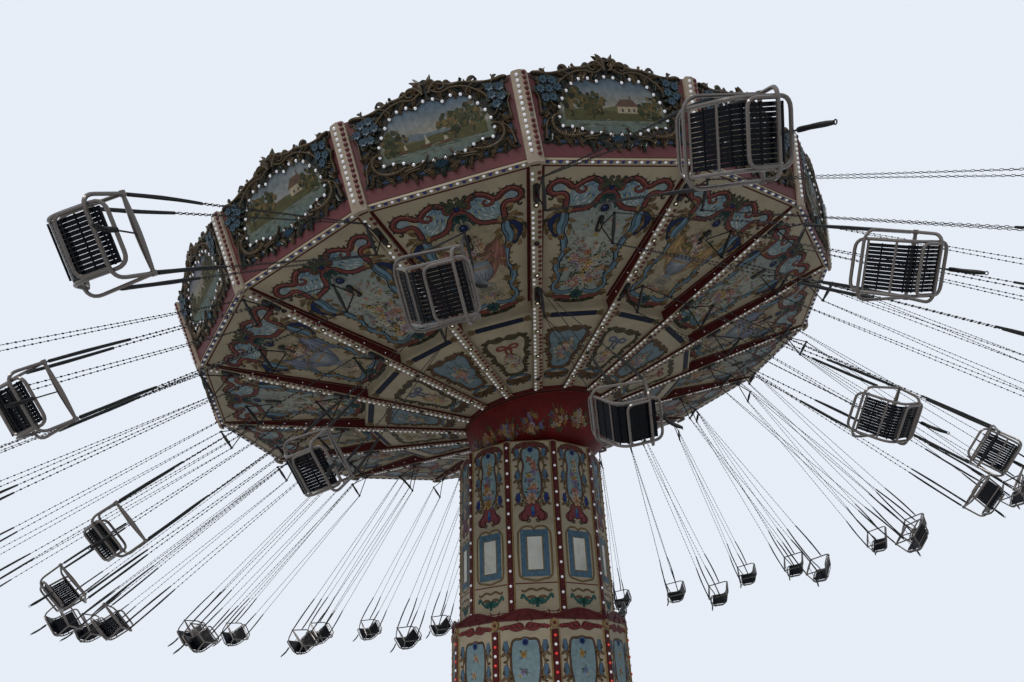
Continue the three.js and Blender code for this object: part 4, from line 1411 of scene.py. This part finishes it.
def landscape(seed):
    """Country view of the builder's own making: sky and ground shade over rings from the middle to the field's edge,
    then hills, water, trees of many small strokes and a cottage, bridge or boats in flat layers."""
    g = np.random.default_rng(seed)
    art = Art()
    corners, rings, level = 56, 9, .0075
    edge = picture_line(corners)
    c = np.array([0, .78])
    s = np.linspace(.12, 1, rings)
    grid = c + s[:, None, None] * (edge - c)
    horizon = .74 + .05 * math.sin(seed * 1.7)
    y = grid[..., 1:2]
    sky_low = np.array([(.31, .28, .21), (.27, .27, .25), (.32, .26, .19)][seed % 3])
    sky_high = np.array([(.10, .145, .19), (.13, .165, .19), (.11, .15, .21)][seed % 3])
    u = np.clip((y - horizon) / .40, 0, 1)
    cloud = .5 + .5 * np.sin(7 * grid[..., :1] + 3 * np.sin(9 * y + seed)) * np.sin(15 * y + 2 * seed)
    sky = sky_low * (1 - u) + sky_high * u + .05 * cloud
    v = np.clip((horizon - y) / .36, 0, 1)
    ripple = .5 + .5 * np.sin(70 * y + 5 * np.sin(6 * grid[..., :1] + seed))
    ground = np.array([.15, .155, .10]) * (1 - v) + np.array([.10, .15, .15]) * v + .035 * ripple
    tint = np.where(y > horizon, sky, ground)
    pts = np.concatenate([grid, np.full(grid.shape[:2] + (1,), level)], 2).reshape(-1, 3)
    pts = np.vstack([pts, [[*c, level]]])
    tints = np.vstack([tint.reshape(-1, 3), [[.28, .26, .21]]])
    i = np.arange(corners)
    middle = np.stack([np.full(corners, rings * corners), i, (i + 1) % corners], 1)
    art.add(pts, [grid_faces(rings, corners, False, True)[:, ::-1], middle], tints)
    n = 22
    for j in range(3):
        x = np.linspace(-.71, .71, n)
        top = horizon + .07 - .035 * j + .035 * np.sin(3.1 * x + seed + 2 * j) + .012 * np.sin(17 * x + j)
        low = np.full(n, horizon - .05 - .04 * j)
        h = 0 * x + .0080 + .0004 * j
        k = np.arange(n - 1)
        art.add(np.vstack([np.stack([x, low, h], 1), np.stack([x, top, h], 1)]),
                np.stack([k, k + 1, n + 1 + k, n + k], 1), [(.14, .17, .19), (.13, .13, .07), (.09, .085, .04)][j])
    side = 1 if seed % 2 else -1
    kind = seed % 4
    x0 = -side * g.uniform(.15, .35)
    if kind in (0, 2):
        w, hgt = g.uniform(.12, .17), g.uniform(.09, .12)
        b = horizon - .02
        art.fill([(x0 - w, b), (x0 + w, b), (x0 + w, b + hgt), (x0 - w, b + hgt)], (.36, .30, .21), .0096)
        art.fill([(x0 - w - .03, b + hgt), (x0 + w + .03, b + hgt), (x0 + w * .5, b + hgt * 2.1),
                  (x0 - w * .6, b + hgt * 2.1)],
                 (.12, .075, .055), .0100)
        art.fill(box_outline(x0 + w * .3, x0 + w * .45, b + hgt * 2, b + hgt * 2.6), (.14, .08, .06), .0099)
        for d in (-.5, .1, .6):
            art.fill(box_outline(x0 + d * w - .014, x0 + d * w + .014, b + .02, b + .065), (.06, .06, .06), .0102)
    elif kind == 1:
        for d in (-.26, 0, .26):
            a = np.linspace(0, math.pi, 9)
            art.band(np.stack([x0 + d + .11 * np.cos(a), horizon - .05 + .10 * np.sin(a)], 1), .035, (.30, .27, .21),
                     .0098)
        art.band([(x0 - .42, horizon + .065), (x0 + .42, horizon + .075)], .045, (.27, .24, .18), .0101)
    else:
        for d in (-.30, .02, .28):
            xb, yb = x0 + d, horizon - .10 - .03 * abs(d)
            art.fill([(xb - .075, yb + .02), (xb - .05, yb - .018), (xb + .05, yb - .018), (xb + .08, yb + .022)],
                     (.10, .055, .035), .0104)
            art.fill([(xb - .004, yb + .02), (xb + .060, yb + .03), (xb + .004, yb + .17)], (.40, .35, .26), .0106)
    for tree in range(3):
        xt = side * (.56 - .28 * tree) + g.uniform(-.05, .05) if tree < 2 else -side * .60
        h0 = .27 - .05 * tree
        base = horizon - .08 - .02 * tree
        art.band(smooth_line([(xt, base), (xt + .012, base + h0 * .5), (xt - .012, base + h0)], 6),
                 [.028, .024, .020, .016, .012, .008], (.045, .035, .025), .0108 + .0002 * tree)
        for i in range(70):
            a, r = g.uniform(0, 6.28), g.uniform(0, 1) ** .6
            p = (xt + .21 * r * math.cos(a), base + h0 + .16 * r * math.sin(a))
            if abs(p[0]) > .72 or p[1] > 1.11 - .6 * max(0, abs(p[0]) - .45):
                continue
            leaf = np.array([(.045, .052, .026), (.095, .075, .032), (.15, .105, .045), (.06, .066, .034),
                             (.028, .032, .020)][g.integers(5)])
            art.spot(p, g.uniform(.018, .040), leaf, .0112 + 3e-5 * i + .0002 * tree, 5, sx=1.3, turn=g.uniform(0, 3))
    for i in range(26):
        x, yy = g.uniform(-.66, .66), g.uniform(.47, horizon - .10)
        art.leaf((x, yy), g.uniform(-8, 8), g.uniform(.06, .18), .010,
                 [(.20, .24, .24), (.06, .09, .08), (.26, .25, .20), (.05, .055, .03)][i % 4], .0104 + 1e-5 * i, n=3)
    return art


# line that the carved leaves follow, from the crest round the side to the foot
LEAF_LINE = [(.13, 1.31), (.28, 1.275), (.44, 1.265), (.58, 1.235), (.70, 1.175), (.82, 1.12), (.93, 1.04), (.945, .92),
             (.915, .80), (.94, .68), (.925, .56), (.95, .44), (.92, .335), (.80, .315), (.66, .335), (.52, .315),
             (.38, .265), (.24, .275), (.08, .265)]
# the carving's near-black ground, also used as the painted shade at the edges and in the grooves of its leaves and
# rails; then the painted highlights on the leaves' tops, in brown, olive and teal
CARVED_DARK = (.011, .012, .009)
CARVED_HIGHLIGHTS = [(.17, .105, .055), (.125, .082, .043), (.21, .14, .075), (.095, .072, .043), (.045, .062, .048)]


def board_carving(seed):
    """Carved surround of a board's picture: dark ground, blue fillets, two rows of leaves, rails, scrolls, flower
    sprays, shell and the crest with its flame; the leaves, rails, scrolls, gadroons and shell have painted highlights
    on their tops and painted shade at their edges. x across, y above the rim, height off the board."""
    g = np.random.default_rng(seed)
    # dark: the ground, and the painted shade at the edges of rails and leaves; brown: the painted highlight along the
    # tops of rails and scrolls
    dark, brown = CARVED_DARK, (.205, .142, .080)
    half = Art()
    edge_x = np.array([0, .10, .20, .38, .50, .65, .80, .95, 1.08])
    top = np.column_stack([edge_x, board_edge(edge_x)])
    outer = np.array([(1.10, 1.20), (1.07, 1.08), (1.09, .95), (1.05, .84), (1.08, .72), (1.03, .62), (1.06, .52),
                      (1.03, .42), (1.07, .32), (1.09, .22), (.98, .245), (.86, .195), (.74, .235), (.62, .195),
                      (.50, .235), (.40, .185), (.28, .21), (.16, .165), (0, .175)])
    inner = np.array(PICTURE)[::-1]
    m = 70
    a, b = even(np.vstack([top, outer]), m), even(inner, m)
    a = a * np.column_stack([1 + .012 * np.sin(np.arange(m) * 2.1) * (np.arange(m) > 3), np.ones(m)])
    pts = np.vstack([np.column_stack([a, np.full(m, .004)]), np.column_stack([b, np.full(m, .009)])])
    i = np.arange(m - 1)
    half.add(pts, np.stack([i, m + i, m + i + 1, i + 1], 1), dark)
    for x0, y0, x1, y1, w in ((.14, 1.345, .46, 1.30, .055), (.52, 1.285, .76, 1.225, .050),
                              (.18, .235, .42, .25, .055), (.55, .265, .84, .255, .055), (.99, .36, 1.01, .62, .055),
                              (.90, 1.18, 1.02, 1.13, .060), (.99, .70, 1.0, .90, .045)):
        line = smooth_line([(x0, y0), ((x0 + x1) / 2, (y0 + y1) / 2 + .012), (x1, y1)], 8)
        half.band(line, w * np.array([.3, .8, 1, 1, 1, .9, .7, .3]), (.040, .072, .15), .0105)
    # leaves that lean out and in by turns
    line = even(smooth_line(LEAF_LINE, 120), 28)
    ahead = np.gradient(line, axis=0)
    for j, (c, v) in enumerate(zip(line, ahead)):
        a0 = math.degrees(math.atan2(v[1], v[0]))
        s = 1 if j % 2 else -1
        half.foliage(c, a0 + 30 * s, .185, .080, .036, dark, CARVED_HIGHLIGHTS[g.integers(5)], 6.0 * s,
                     .010 + .002 * (j % 3))
        half.foliage(c - .4 * v, a0 - 24 * s, .150, .064, .032, dark, CARVED_HIGHLIGHTS[g.integers(5)], -8.0 * s,
                     .013 + .002 * (j % 2), 6)
    # rails over the picture and along the upper edge
    half.relief(smooth_line(inner + np.array([.014, 0]) * (inner[:, :1] > .05), 44), .030, .022, dark, (.12, .08, .045),
                .009, 3)
    rail = smooth_line([(.08, 1.475), (.17, 1.405), (.28, 1.362), (.38, 1.335), (.50, 1.325), (.63, 1.288),
                        (.78, 1.245), (.93, 1.228), (1.04, 1.245), (1.10, 1.225)], 30)
    half.relief(rail, .058 + .014 * np.sin(np.linspace(0, 24, 30)), .042, dark, brown, .008, 3)
    half.relief(smooth_line([(.06, 1.335), (.20, 1.262), (.33, 1.288), (.48, 1.27), (.60, 1.215), (.71, 1.13),
                             (.79, 1.04), (.82, .93)], 22), .040,
                .040, dark, brown, .010, 3)
    # gadrooned scroll of the lower corner, with painted highlights on its tops and painted shade at its edges
    scroll = curl((.47, .365), -20, .78, 1.2, 11.5, 20, 1.6)
    half.relief(scroll, .074 * np.linspace(.6, 1, 20) * (1 - .6 * np.linspace(0, 1, 20) ** 6), .048, dark,
                (.15, .10, .05), .012, 4)
    n2 = normals2(scroll)
    for j in range(1, 18):
        q = scroll[j] + .5 * (scroll[j + 1] - scroll[j])
        half.relief([q - n2[j] * .034, q, q + n2[j] * .024], [.012, .022, .012], .016, dark, (.21, .145, .075), .048, 2)
    for x, y, ang, l, b0, b1, w in ((.50, .31, 172, .40, .8, -9, .050), (1.03, .28, 97, .38, -1, 11, .046),
                                    (1.05, .64, 80, .34, 3, -11, .044), (1.06, 1.16, 250, .26, 2, 14, .040),
                                    (.86, .98, 300, .30, -2, -15, .038), (.30, .30, -10, .26, 3, -16, .036),
                                    (.84, 1.16, 20, .20, 3, 22, .034), (.66, 1.255, 200, .22, 2, 20, .036)):
        path = curl((x, y), ang, l, b0, b1, 12, 1.5)
        half.relief(path, w * np.linspace(1, .5, 12), .040, dark, brown, .014, 3)
    # volute at the corner and leaf tips that stand over the board's edge, round so that they are closed from behind
    vol = curl((1.00, 1.242), 28, .26, -4, -36, 12, 1.2)
    half.add(*sweep(np.column_stack([vol, np.full(12, .004)]), .022 * np.linspace(1, .6, 12), 5, (0, 0, 1), flat=.9),
             tint=(.06, .042, .026))
    for x, y, ang, l, b, r in ((.595, 1.300, 66, .155, -12, .038), (.93, 1.238, 82, .105, -15, .030),
                               (.27, 1.385, 44, .090, -16, .032)):
        path = curl((x, y), ang, l, b * .3, b * 2, 6)
        half.add(*sweep(np.column_stack([path, np.full(6, .004)]), r * np.sin(np.linspace(.9, 3.0, 6)) + .002, 4,
                        (0, 0, 1), flat=.8),
                 tint=(.075, .052, .030))
    art = both_sides(half)
    # flower sprays at the sides, fuller on the left
    for s, spots in ((-1, [(.84, 1.12), (.97, 1.11), (.79, 1.01), (.91, .99), (1.03, .98), (.87, .87), (.98, .85)]),
                     (1, [(.86, 1.13), (.99, 1.09), (.87, 1.00), (1.00, .95), (.90, .86)])):
        for j, (x, y) in enumerate(spots):
            c = np.array([s * x, y]) + g.uniform(-.012, .012, 2)
            for q in range(3):
                art.leaf(c, 120 * q + 40 * j, .125, .055, (.028, .042, .032), .050, 5, n=4)
            art.spot(c, .066, (.010, .016, .020), .0535, 9)
            art.blossom(c, .058, (.055, .110, .165), (.020, .035, .045), .055, 7, j, .010)
    # shell at the foot, blue, with a painted highlight along each rib over painted shade at its sides
    for a0 in np.linspace(200, 340, 9):
        c0, s0 = math.cos(math.radians(a0)), math.sin(math.radians(a0))
        art.relief([(0, .335), (.055 * c0, .335 + .05 * s0), (.115 * c0, .335 + .105 * s0)], [.008, .022, .030], .030,
                   (.014, .030, .055), (.10, .19, .27), .030, 2)
    # crest: two volutes with leaves between, and the flame
    for s in (-1, 1):
        art.relief(curl((s * .04, 1.29), 90 - 24 * s, .46, -s * 2, -s * 24, 18, 1.3), .062 * np.linspace(1, .5, 18),
                   .050, dark, brown, .012, 3)
        art.relief(curl((s * .02, 1.43), 90 - 34 * s, .20, -s * 8, -s * 28, 12, 1.2), .044, .044, dark, brown, .014, 3)
        art.band(smooth_line([(s * .05, 1.40), (s * .10, 1.43), (s * .14, 1.395)], 6), .045, (.040, .072, .15), .030)
        for ang, l in ((26, .19), (62, .16)):
            art.foliage((s * .03, 1.36), 90 - s * (90 - ang), l, .090, .050, dark, CARVED_HIGHLIGHTS[ang % 3], -5 * s, .020)
    for x, ang, l, r in ((-.040, 108, .27, .056), (.040, 62, .16, .044), (-.085, 148, .13, .034)):
        path = curl((x, 1.592 - l), ang, l, -4, 9, 8)
        art.add(*sweep(np.column_stack([path, np.full(8, .008)]), r * np.sin(np.linspace(1.0, 3.05, 8)) + .002, 6,
                       (0, 0, 1), flat=.7),
                tint=(.085, .058, .033))
    return art


BOARD_LAMPS = 30


def make_board_art():
    carving = [board_carving(1), board_carving(2)]
    carved, pictures, rings = Batch(), Batch(), Batch()
    for k in range(BAYS):
        face = board_face(k)
        carved.join(carving[k % 2].copies(face))
        pictures.join(landscape(k + 3).copies(face))
        path = picture_line(240)
        d = np.concatenate([[0], np.cumsum(np.linalg.norm(np.diff(path, axis=0), axis=1))])
        t = (np.arange(BOARD_LAMPS) + .5) / BOARD_LAMPS * d[-1]
        spots = np.stack([np.interp(t, d, path[:, i]) for i in (0, 1)], 1)
        rings.join(Art().hoops(spots, .0280, .008, (.045, .045, .05), .016, 8).copies(face))
        light("lamp_white", face, Art().dots(spots, .0262, .020, .018, fine=True))
    make("board_carving", carved, "carved", "canopy", (), 50)
    make("board_pictures", pictures, "tinted", "canopy", (), 0)
    make("board_lamp_rings", rings, "carved", "canopy")


make_board_art()


def bowl_face(az):
    """Places x, y (from the rim, 0, to the bottom, 1) and height on the bowl below the ribs."""
    def place(p):
        line = bowl_line(np.clip(p[:, 1], 0, 1))
        ahead = bowl_line(np.clip(p[:, 1] + .01, 0, 1)) - bowl_line(np.clip(p[:, 1] - .01, 0, 1))
        n = unit(np.stack([-ahead[:, 1], ahead[:, 0]], 1))
        r = line[:, 0] * BOWL_IN + n[:, 0] * p[:, 2]
        z = line[:, 1] + n[:, 1] * p[:, 2]
        a = az - p[:, 0] / BOWL_R
        return canopy(np.stack([-r * np.sin(a), -r * np.cos(a), z], 1))
    return place


COLLAR_FLOWERS = [(.34, .13, .06), (.38, .27, .13), (.26, .07, .06), (.16, .13, .30), (.36, .18, .04), (.38, .33, .27),
                  (.10, .14, .26)]


def make_collar_art():
    """Eighteen bouquets round the bowl; a light line and a darker band below its rim."""
    paint = Batch()
    for k in range(18):
        art = bouquet(Art(), (0, .545), .195, .130, 27, 200 + k, .0010, .058, COLLAR_FLOWERS)
        paint.join(art.copies(bowl_face(RIB_AZ + math.radians(10 + 20 * k))))
    line = Art()
    a = np.linspace(-math.pi, math.pi, 97) * BOWL_R
    line.band(np.stack([a, 0 * a + .055], 1), .11, (.060, .006, .007), .0006)
    line.band(np.stack([a, 0 * a + .120], 1), .009, (.30, .10, .08), .0012)
    line.band(np.stack([a, 0 * a + .018], 1), .012, (.17, .10, .05), .0012)
    paint.join(line.copies(bowl_face(0.0)))
    make("collar_bouquets", paint, "tinted", "canopy", (), 0)


make_collar_art()

TOWER_LAMPS = {"lamp_white": Batch(), "lamp_red": Batch()}
DRUM_LAMPS = {"lamp_white": Batch(), "lamp_scarlet": Batch()}


def cartouche(y0, y1, half_w, seed, flowers):
    """Tall light blue field with brown scrolls, blue drops down both sides, red volutes above and below."""
    tall = y1 - y0
    half = Art()
    shape = smooth_line([(0, y1), (-.07, y1 - .02), (-half_w * .85, y1 - .06), (-half_w * .95, y1 - .18 * tall),
                         (-half_w * .76, y1 - .33 * tall), (-half_w * .92, y1 - .5 * tall), (-half_w, y1 - .65 * tall),
                         (-half_w * .86, y0 + .15 * tall), (-half_w * .4, y0 + .03), (0, y0)], 40)
    half.band(shape, .022, (.12, .062, .034), .0030, edge=INK, edge_w=.007)
    n = max(3, int(round(tall / .33)))
    t = np.linspace(0, 1, 9 * n)
    vine = np.stack([-(half_w + .030 + .024 * np.cos(2 * math.pi * n * t)) * (1 - .5 * t ** 8),
                     y1 - .04 - (tall - .02) * t], 1)
    half.band(vine, .018, FRINGE[0], .0028, edge=INK, edge_w=.006)
    fringe(half, vine[2::2], -1, .062, FRINGE, .0024)
    for i in range(n):
        y = y1 - .14 - i * (tall - .22) / (n - 1)
        blue = (.085, .155, .235) if i < n - 1 else (.022, .045, .19)
        x = -half_w - .065
        half.leaf((x, y + .10), -90, .20, .080, blue, .0034, 0, INK, 8)
        half.leaf((x + .01, y - .06), -70, .10, .040, BROWN, .0038, 8, INK)
        half.leaf((x - .01, y - .06), -120, .09, .036, BROWN, .0038, -8, INK)
        curl_end(half, (x - .02, y + .02), 200, .10, .014, (.12, .07, .035), .0040, 1)
        curl_end(half, (x + .03, y - .10), -40, .09, .013, (.12, .07, .035), .0040, 1)
    art = both_sides(half)
    outline = np.vstack([shape, shape[-2:0:-1] * [-1, 1]])
    art.fill(outline, (.19, .28, .315), .0014, middle=(0, (y0 + y1) / 2), tint_mid=(.27, .37, .38))
    g = np.random.default_rng(seed)
    for i in range(flowers):
        y = y1 - .24 - (tall - .32) * i / max(1, flowers - 1)
        size = .052 + .056 * (i / flowers) ** 2
        c = (g.uniform(-.05, .05) * (1 if i < flowers - 2 else .4), y)
        for q in range(4):
            art.leaf(c, g.uniform(0, 360), size * 1.7, size * .5, (.06, .09, .035), .0020 + .0001 * q, g.uniform(-9, 9),
                     n=5)
        art.blossom(c, size, FLOWERS[g.integers(9)], (.28, .14, .03), .0030 + .0004 * i, 6, g.uniform(0, 6))
        art.blossom((c[0] + g.uniform(-.07, .07), y - .05), size * .5, FLOWERS[g.integers(9)], (.30, .25, .10),
                    .0028 + .0004 * i, 5, 1.0)
    art.spot((0, y1 - .065), .045, DEEP_BLUE, .0060, 8, (.10, .18, .30), .014)
    return art


def volutes(y, red):
    """Red heart of two volutes with a blue pendant."""
    half = Art()
    body = np.array([(0, .01), (-.10, .02), (-.125, -.04), (-.165, -.105), (-.225, -.15), (-.24, -.21), (-.195, -.265),
                     (-.125, -.262), (-.085, -.215), (-.045, -.19), (0, -.205)]) + [0, y]
    half.fill(smooth_line(body, 30, True), red, .0028, INK, .010, (-.11, y - .15), tuple(1.25 * v for v in red))
    half.band(curl((-.115, y - .075), -150, .42, 4, 27, 18, 1.3), .016, (.045, .010, .011), .0034)
    curl_end(half, (-.06, y - .24), -70, .12, .014, (.13, .07, .03), .0036, -1)
    art = both_sides(half)
    art.leaf((0, y - .02), -90, .18, .055, (.07, .16, .30), .0042, 0, INK, 7)
    art.spot((0, y - .15), .035, (.03, .07, .30), .0048, 8, INK)
    return art


def corner_strip(face, y0, y1, half_w, pitch, colours, store, first):
    """Dark red strip over a corner, flat, with gilt beads along both sides and lamps of two colours in turn."""
    strip = Art().slab(box_outline(-half_w, half_w, y0, y1), -.020, .006, DARK_RED, .003)
    gilt = Art()
    for s in (-1, 1):
        gilt.relief([(s * (half_w + .012), y0), (s * (half_w + .012), y1)], .034, .026, GOLD, GOLD, -.026, 3)
    ys = np.arange(y0 + .06, y1 - .03, pitch)
    for i, colour in enumerate(colours):
        part = ys[(np.arange(len(ys)) + first) % 2 == i]
        store[colour].join(Art().dots(column(0.0, part), .0245, .019, .006, fine=True).copies(face))
    return strip.copies(face), gilt.copies(face)


def make_tower_art():
    paint, strips, gilt, mirrors = Batch(), Batch(), Batch(), Batch()
    red = (.18, .046, .052)
    for k in range(FACES):
        face = tower_face(k)
        art = Art()
        half = Art()
        top = smooth_line([(0, 6.005), (-.12, 6.0), (-.22, 5.965), (-.285, 5.90), (-.30, 5.84)], 16)
        fringe(half, top[1::2] + [0, -.02], -1, .048, FRINGE, .0020)
        half.band(top + [0, -.04], .085 * np.linspace(1, .7, 16), (.165, .034, .036), .0026, edge=INK, edge_w=.010)
        half.band(top + [0, -.035], .012, (.045, .010, .010), .0030)
        for i in range(5):
            curl_end(half, top[3 * i + 1] + [0, -.05], 150 - 14 * i, .10, .014, FRINGE[0], .0034, 1 if i % 2 else -1)
        art.join(both_sides(half))
        art.join(cartouche(4.90, 5.925, .178, 300 + k, 10))
        art.join(volutes(4.87, red))
        # frame of the mirror
        frame_line = [(-.17, 4.50), (-.24, 4.44), (-.275, 4.34), (-.275, 3.80), (-.24, 3.68), (-.14, 3.65), (0, 3.62)]
        half = Art()
        half.ribbon([(0, 4.46), (-.06, 4.50)] + frame_line, 34, .020, (.24, .15, .06), .0040, .005)
        for y in np.arange(3.78, 4.40, .10):
            half.leaf((-.20, y), 90, .09, .030, (.10, .20, .30), .0034, 0, (.05, .08, .12), 5)
        art.join(both_sides(half))
        art.slab(box_outline(-.235, .235, 3.69, 4.45), 0, .0026, (.09, .17, .235), .004)
        ornament = Art()
        ornament.ribbon([(0, 3.33), (-.08, 3.29), (-.17, 3.34), (-.23, 3.41), (-.26, 3.35)], 18, .030, TEAL, .0030,
                        .006)
        ornament.ribbon([(0, 3.47), (-.10, 3.50), (-.20, 3.46), (-.25, 3.48)], 14, .022, BROWN, .0030, .005)
        for a in (-60, -90, 200, 160):
            ornament.leaf((-.02, 3.36), a, .15, .045, TEAL if a != 160 else BROWN, .0038, 4, INK)
        art.join(both_sides(ornament))
        art.band([(-.355, 3.585), (.355, 3.585)], .018, (.14, .03, .03), .0016)
        art.band([(-.355, 3.15), (.355, 3.15)], .014, (.14, .03, .03), .0016)
        paint.join(art.copies(face))
        rim = Art()
        p = box_outline(-.132, .132, 3.79, 4.34)
        # gilt frame round the mirror: its tint is a painted highlight along the top over painted shade at the edges
        rim.relief(np.vstack([p, p[:1]]), .020, .010, (.10, .06, .03), GOLD_BROWN, .003, 2)
        gilt.join(rim.copies(face))
        mirrors.join(Art().slab(box_outline(-.124, .124, 3.798, 4.332), .0027, .0045, (1, 1, 1), .004).copies(face))
        side = Art()
        for s in (-1, 1):
            side.relief([(s * .362, 2.80), (s * .362, 6.01)], .012, .007, GOLD, GOLD, 0, 2)
        side.relief([(-.36, 6.022), (.36, 6.022)], .018, .010, GOLD, GOLD, 0, 2)
        gilt.join(side.copies(face))
        corner = panel(TOWER_AZ + FACE * k, lambda z: (TOWER_R, z), False)
        s, e = corner_strip(corner, 2.78, 6.005, .0435, .118, ("lamp_white", "lamp_red"), TOWER_LAMPS, k % 2)
        strips.join(s)
        gilt.join(e)
        strips.join(Art().slab(box_outline(-.03, .03, 5.95, 6.02), .004, .016, (.10, .14, .18), .010).copies(corner))
    make("tower_paintings", paint, "tinted", "tower", (), 0)
    make("tower_corner_strips", strips, "dark_red", "tower", (), 20)
    make("tower_gilt_mouldings", gilt, "gilt", "tower")
    make("tower_mirrors", mirrors, "mirror", "tower", (), 20)
    make("tower_lamps_white", TOWER_LAMPS["lamp_white"], "lamp_white", "tower", (), 60)
    make("tower_lamps_red", TOWER_LAMPS["lamp_red"], "lamp_red", "tower", (), 60)


make_tower_art()


def make_drum_art():
    paint, strips, gilt = Batch(), Batch(), Batch()
    red = (.20, .035, .038)
    for k in range(FACES):
        face = drum_face(k)
        art = cartouche(.52, 2.76, .245, 400 + k, 9)
        half = Art()
        for i in range(8):
            x = -.02 - .042 * i
            for y, up in ((2.90, 1), (.46, -1)):
                half.leaf((x, y), up * (120 + 6 * i), .12 - .004 * i, .050, red if i % 2 else (.11, .02, .02),
                          .0030 + .0001 * i, up * 6, INK)
        half.ribbon([(0, 2.90), (-.15, 2.87), (-.30, 2.93), (-.37, 2.88)], 18, .030, red, .0042, .006)
        half.ribbon([(0, .46), (-.15, .49), (-.30, .43), (-.37, .47)], 18, .030, red, .0042, .006)
        art.join(both_sides(half))
        art.band([(-.42, .28), (.42, .28)], .020, (.14, .03, .03), .0016)
        paint.join(art.copies(face))
        x = np.linspace(-.462, .462, 41)
        wave = 3.050 + .100 * (.5 + .5 * np.cos(2 * math.pi * x / .945)) ** .8
        crown = Art()
        # red crest along the wave and curls beside the blue spot: each tint is a painted highlight along the ridge over
        # painted shade at the edges
        crown.relief(np.stack([x, wave], 1), .026, .012, (.05, .01, .01), (.20, .04, .04), .013, 3)
        crown.spot((0, 3.105), .032, (.03, .07, .26), .024, 8, (.14, .03, .03), .014)
        for s in (-1, 1):
            crown.relief(curl((s * .03, 3.10), 90 - 95 * s, .17, -s * 3, -s * 30, 12, 1.2), .018, .012, DARK_RED,
                         (.24, .05, .05), .013, 2)
            crown.relief(curl((s * .30, 3.045), 90 - 80 * s, .19, -s * 2, s * 36, 14, 1.2), .018, .012, DARK_RED,
                         (.24, .05, .05), .013, 2)
        strips.join(crown.copies(face))
        side = Art()
        for s in (-1, 1):
            side.relief([(s * .405, .24), (s * .405, 2.99)], .014, .008, GOLD, GOLD, 0, 2)
        gilt.join(side.copies(face))
        corner = panel(DRUM_AZ + FACE * k, lambda z: (DRUM_R, z), False)
        s, e = corner_strip(corner, .24, 2.86, .050, .130, ("lamp_white", "lamp_scarlet"), DRUM_LAMPS, k % 2)
        strips.join(s)
        gilt.join(e)
        shield = smooth_line([(0, 2.86), (.055, 2.90), (.065, 2.97), (.03, 3.02), (-.03, 3.02), (-.065, 2.97),
                              (-.055, 2.90)], 20, True)
        gilt.join(Art().slab(shield, -.02, .016, GOLD, .008).copies(corner))
        strips.join(Art().dots([(0, 2.95)], .026, .010, .016, sides=8).copies(corner))
    make("drum_paintings", paint, "tinted", "base", (), 0)
    make("drum_corner_strips", strips, "dark_red", "base", (), 25)
    make("drum_gilt_mouldings", gilt, "gilt", "base")
    make("drum_lamps_white", DRUM_LAMPS["lamp_white"], "lamp_white", "base", (), 60)
    make("drum_lamps_red", DRUM_LAMPS["lamp_scarlet"], "lamp_scarlet", "base", (), 60)


make_drum_art()


def make_roof_battens():
    """Folded seams of the roof over the ribs: raised bars down the slope at each corner and at half bays."""
    b = Batch()
    for k in range(2 * BAYS):
        az = RIB_AZ + BAY / 2 * k
        flat = 1.0 if k % 2 == 0 else CHORD
        face = panel(az, lambda t: (t, 1.7520 - (t / flat - .300) * (.852 / 6.162)))
        seam = Art().relief([(0, 6.38 * flat), (0, .44)], .028, .018, DARK_RED, DARK_RED, .0, 3)
        b.join(seam.copies(lambda p: face(p * np.array([1, 1, -1.0])), True))
    make("roof_seams", b, "dark_red", "canopy", (), 25)


make_roof_battens()


for colour, slot in (("lamp_white", "lamp_glass"), ("lamp_red", "lamp_red"), ("lamp_blue", "lamp_blue"),
                     ("lamp_warm", "lamp_glass")):
    make(f"canopy_{colour}", LAMPS[colour], colour, "canopy", (), 60)
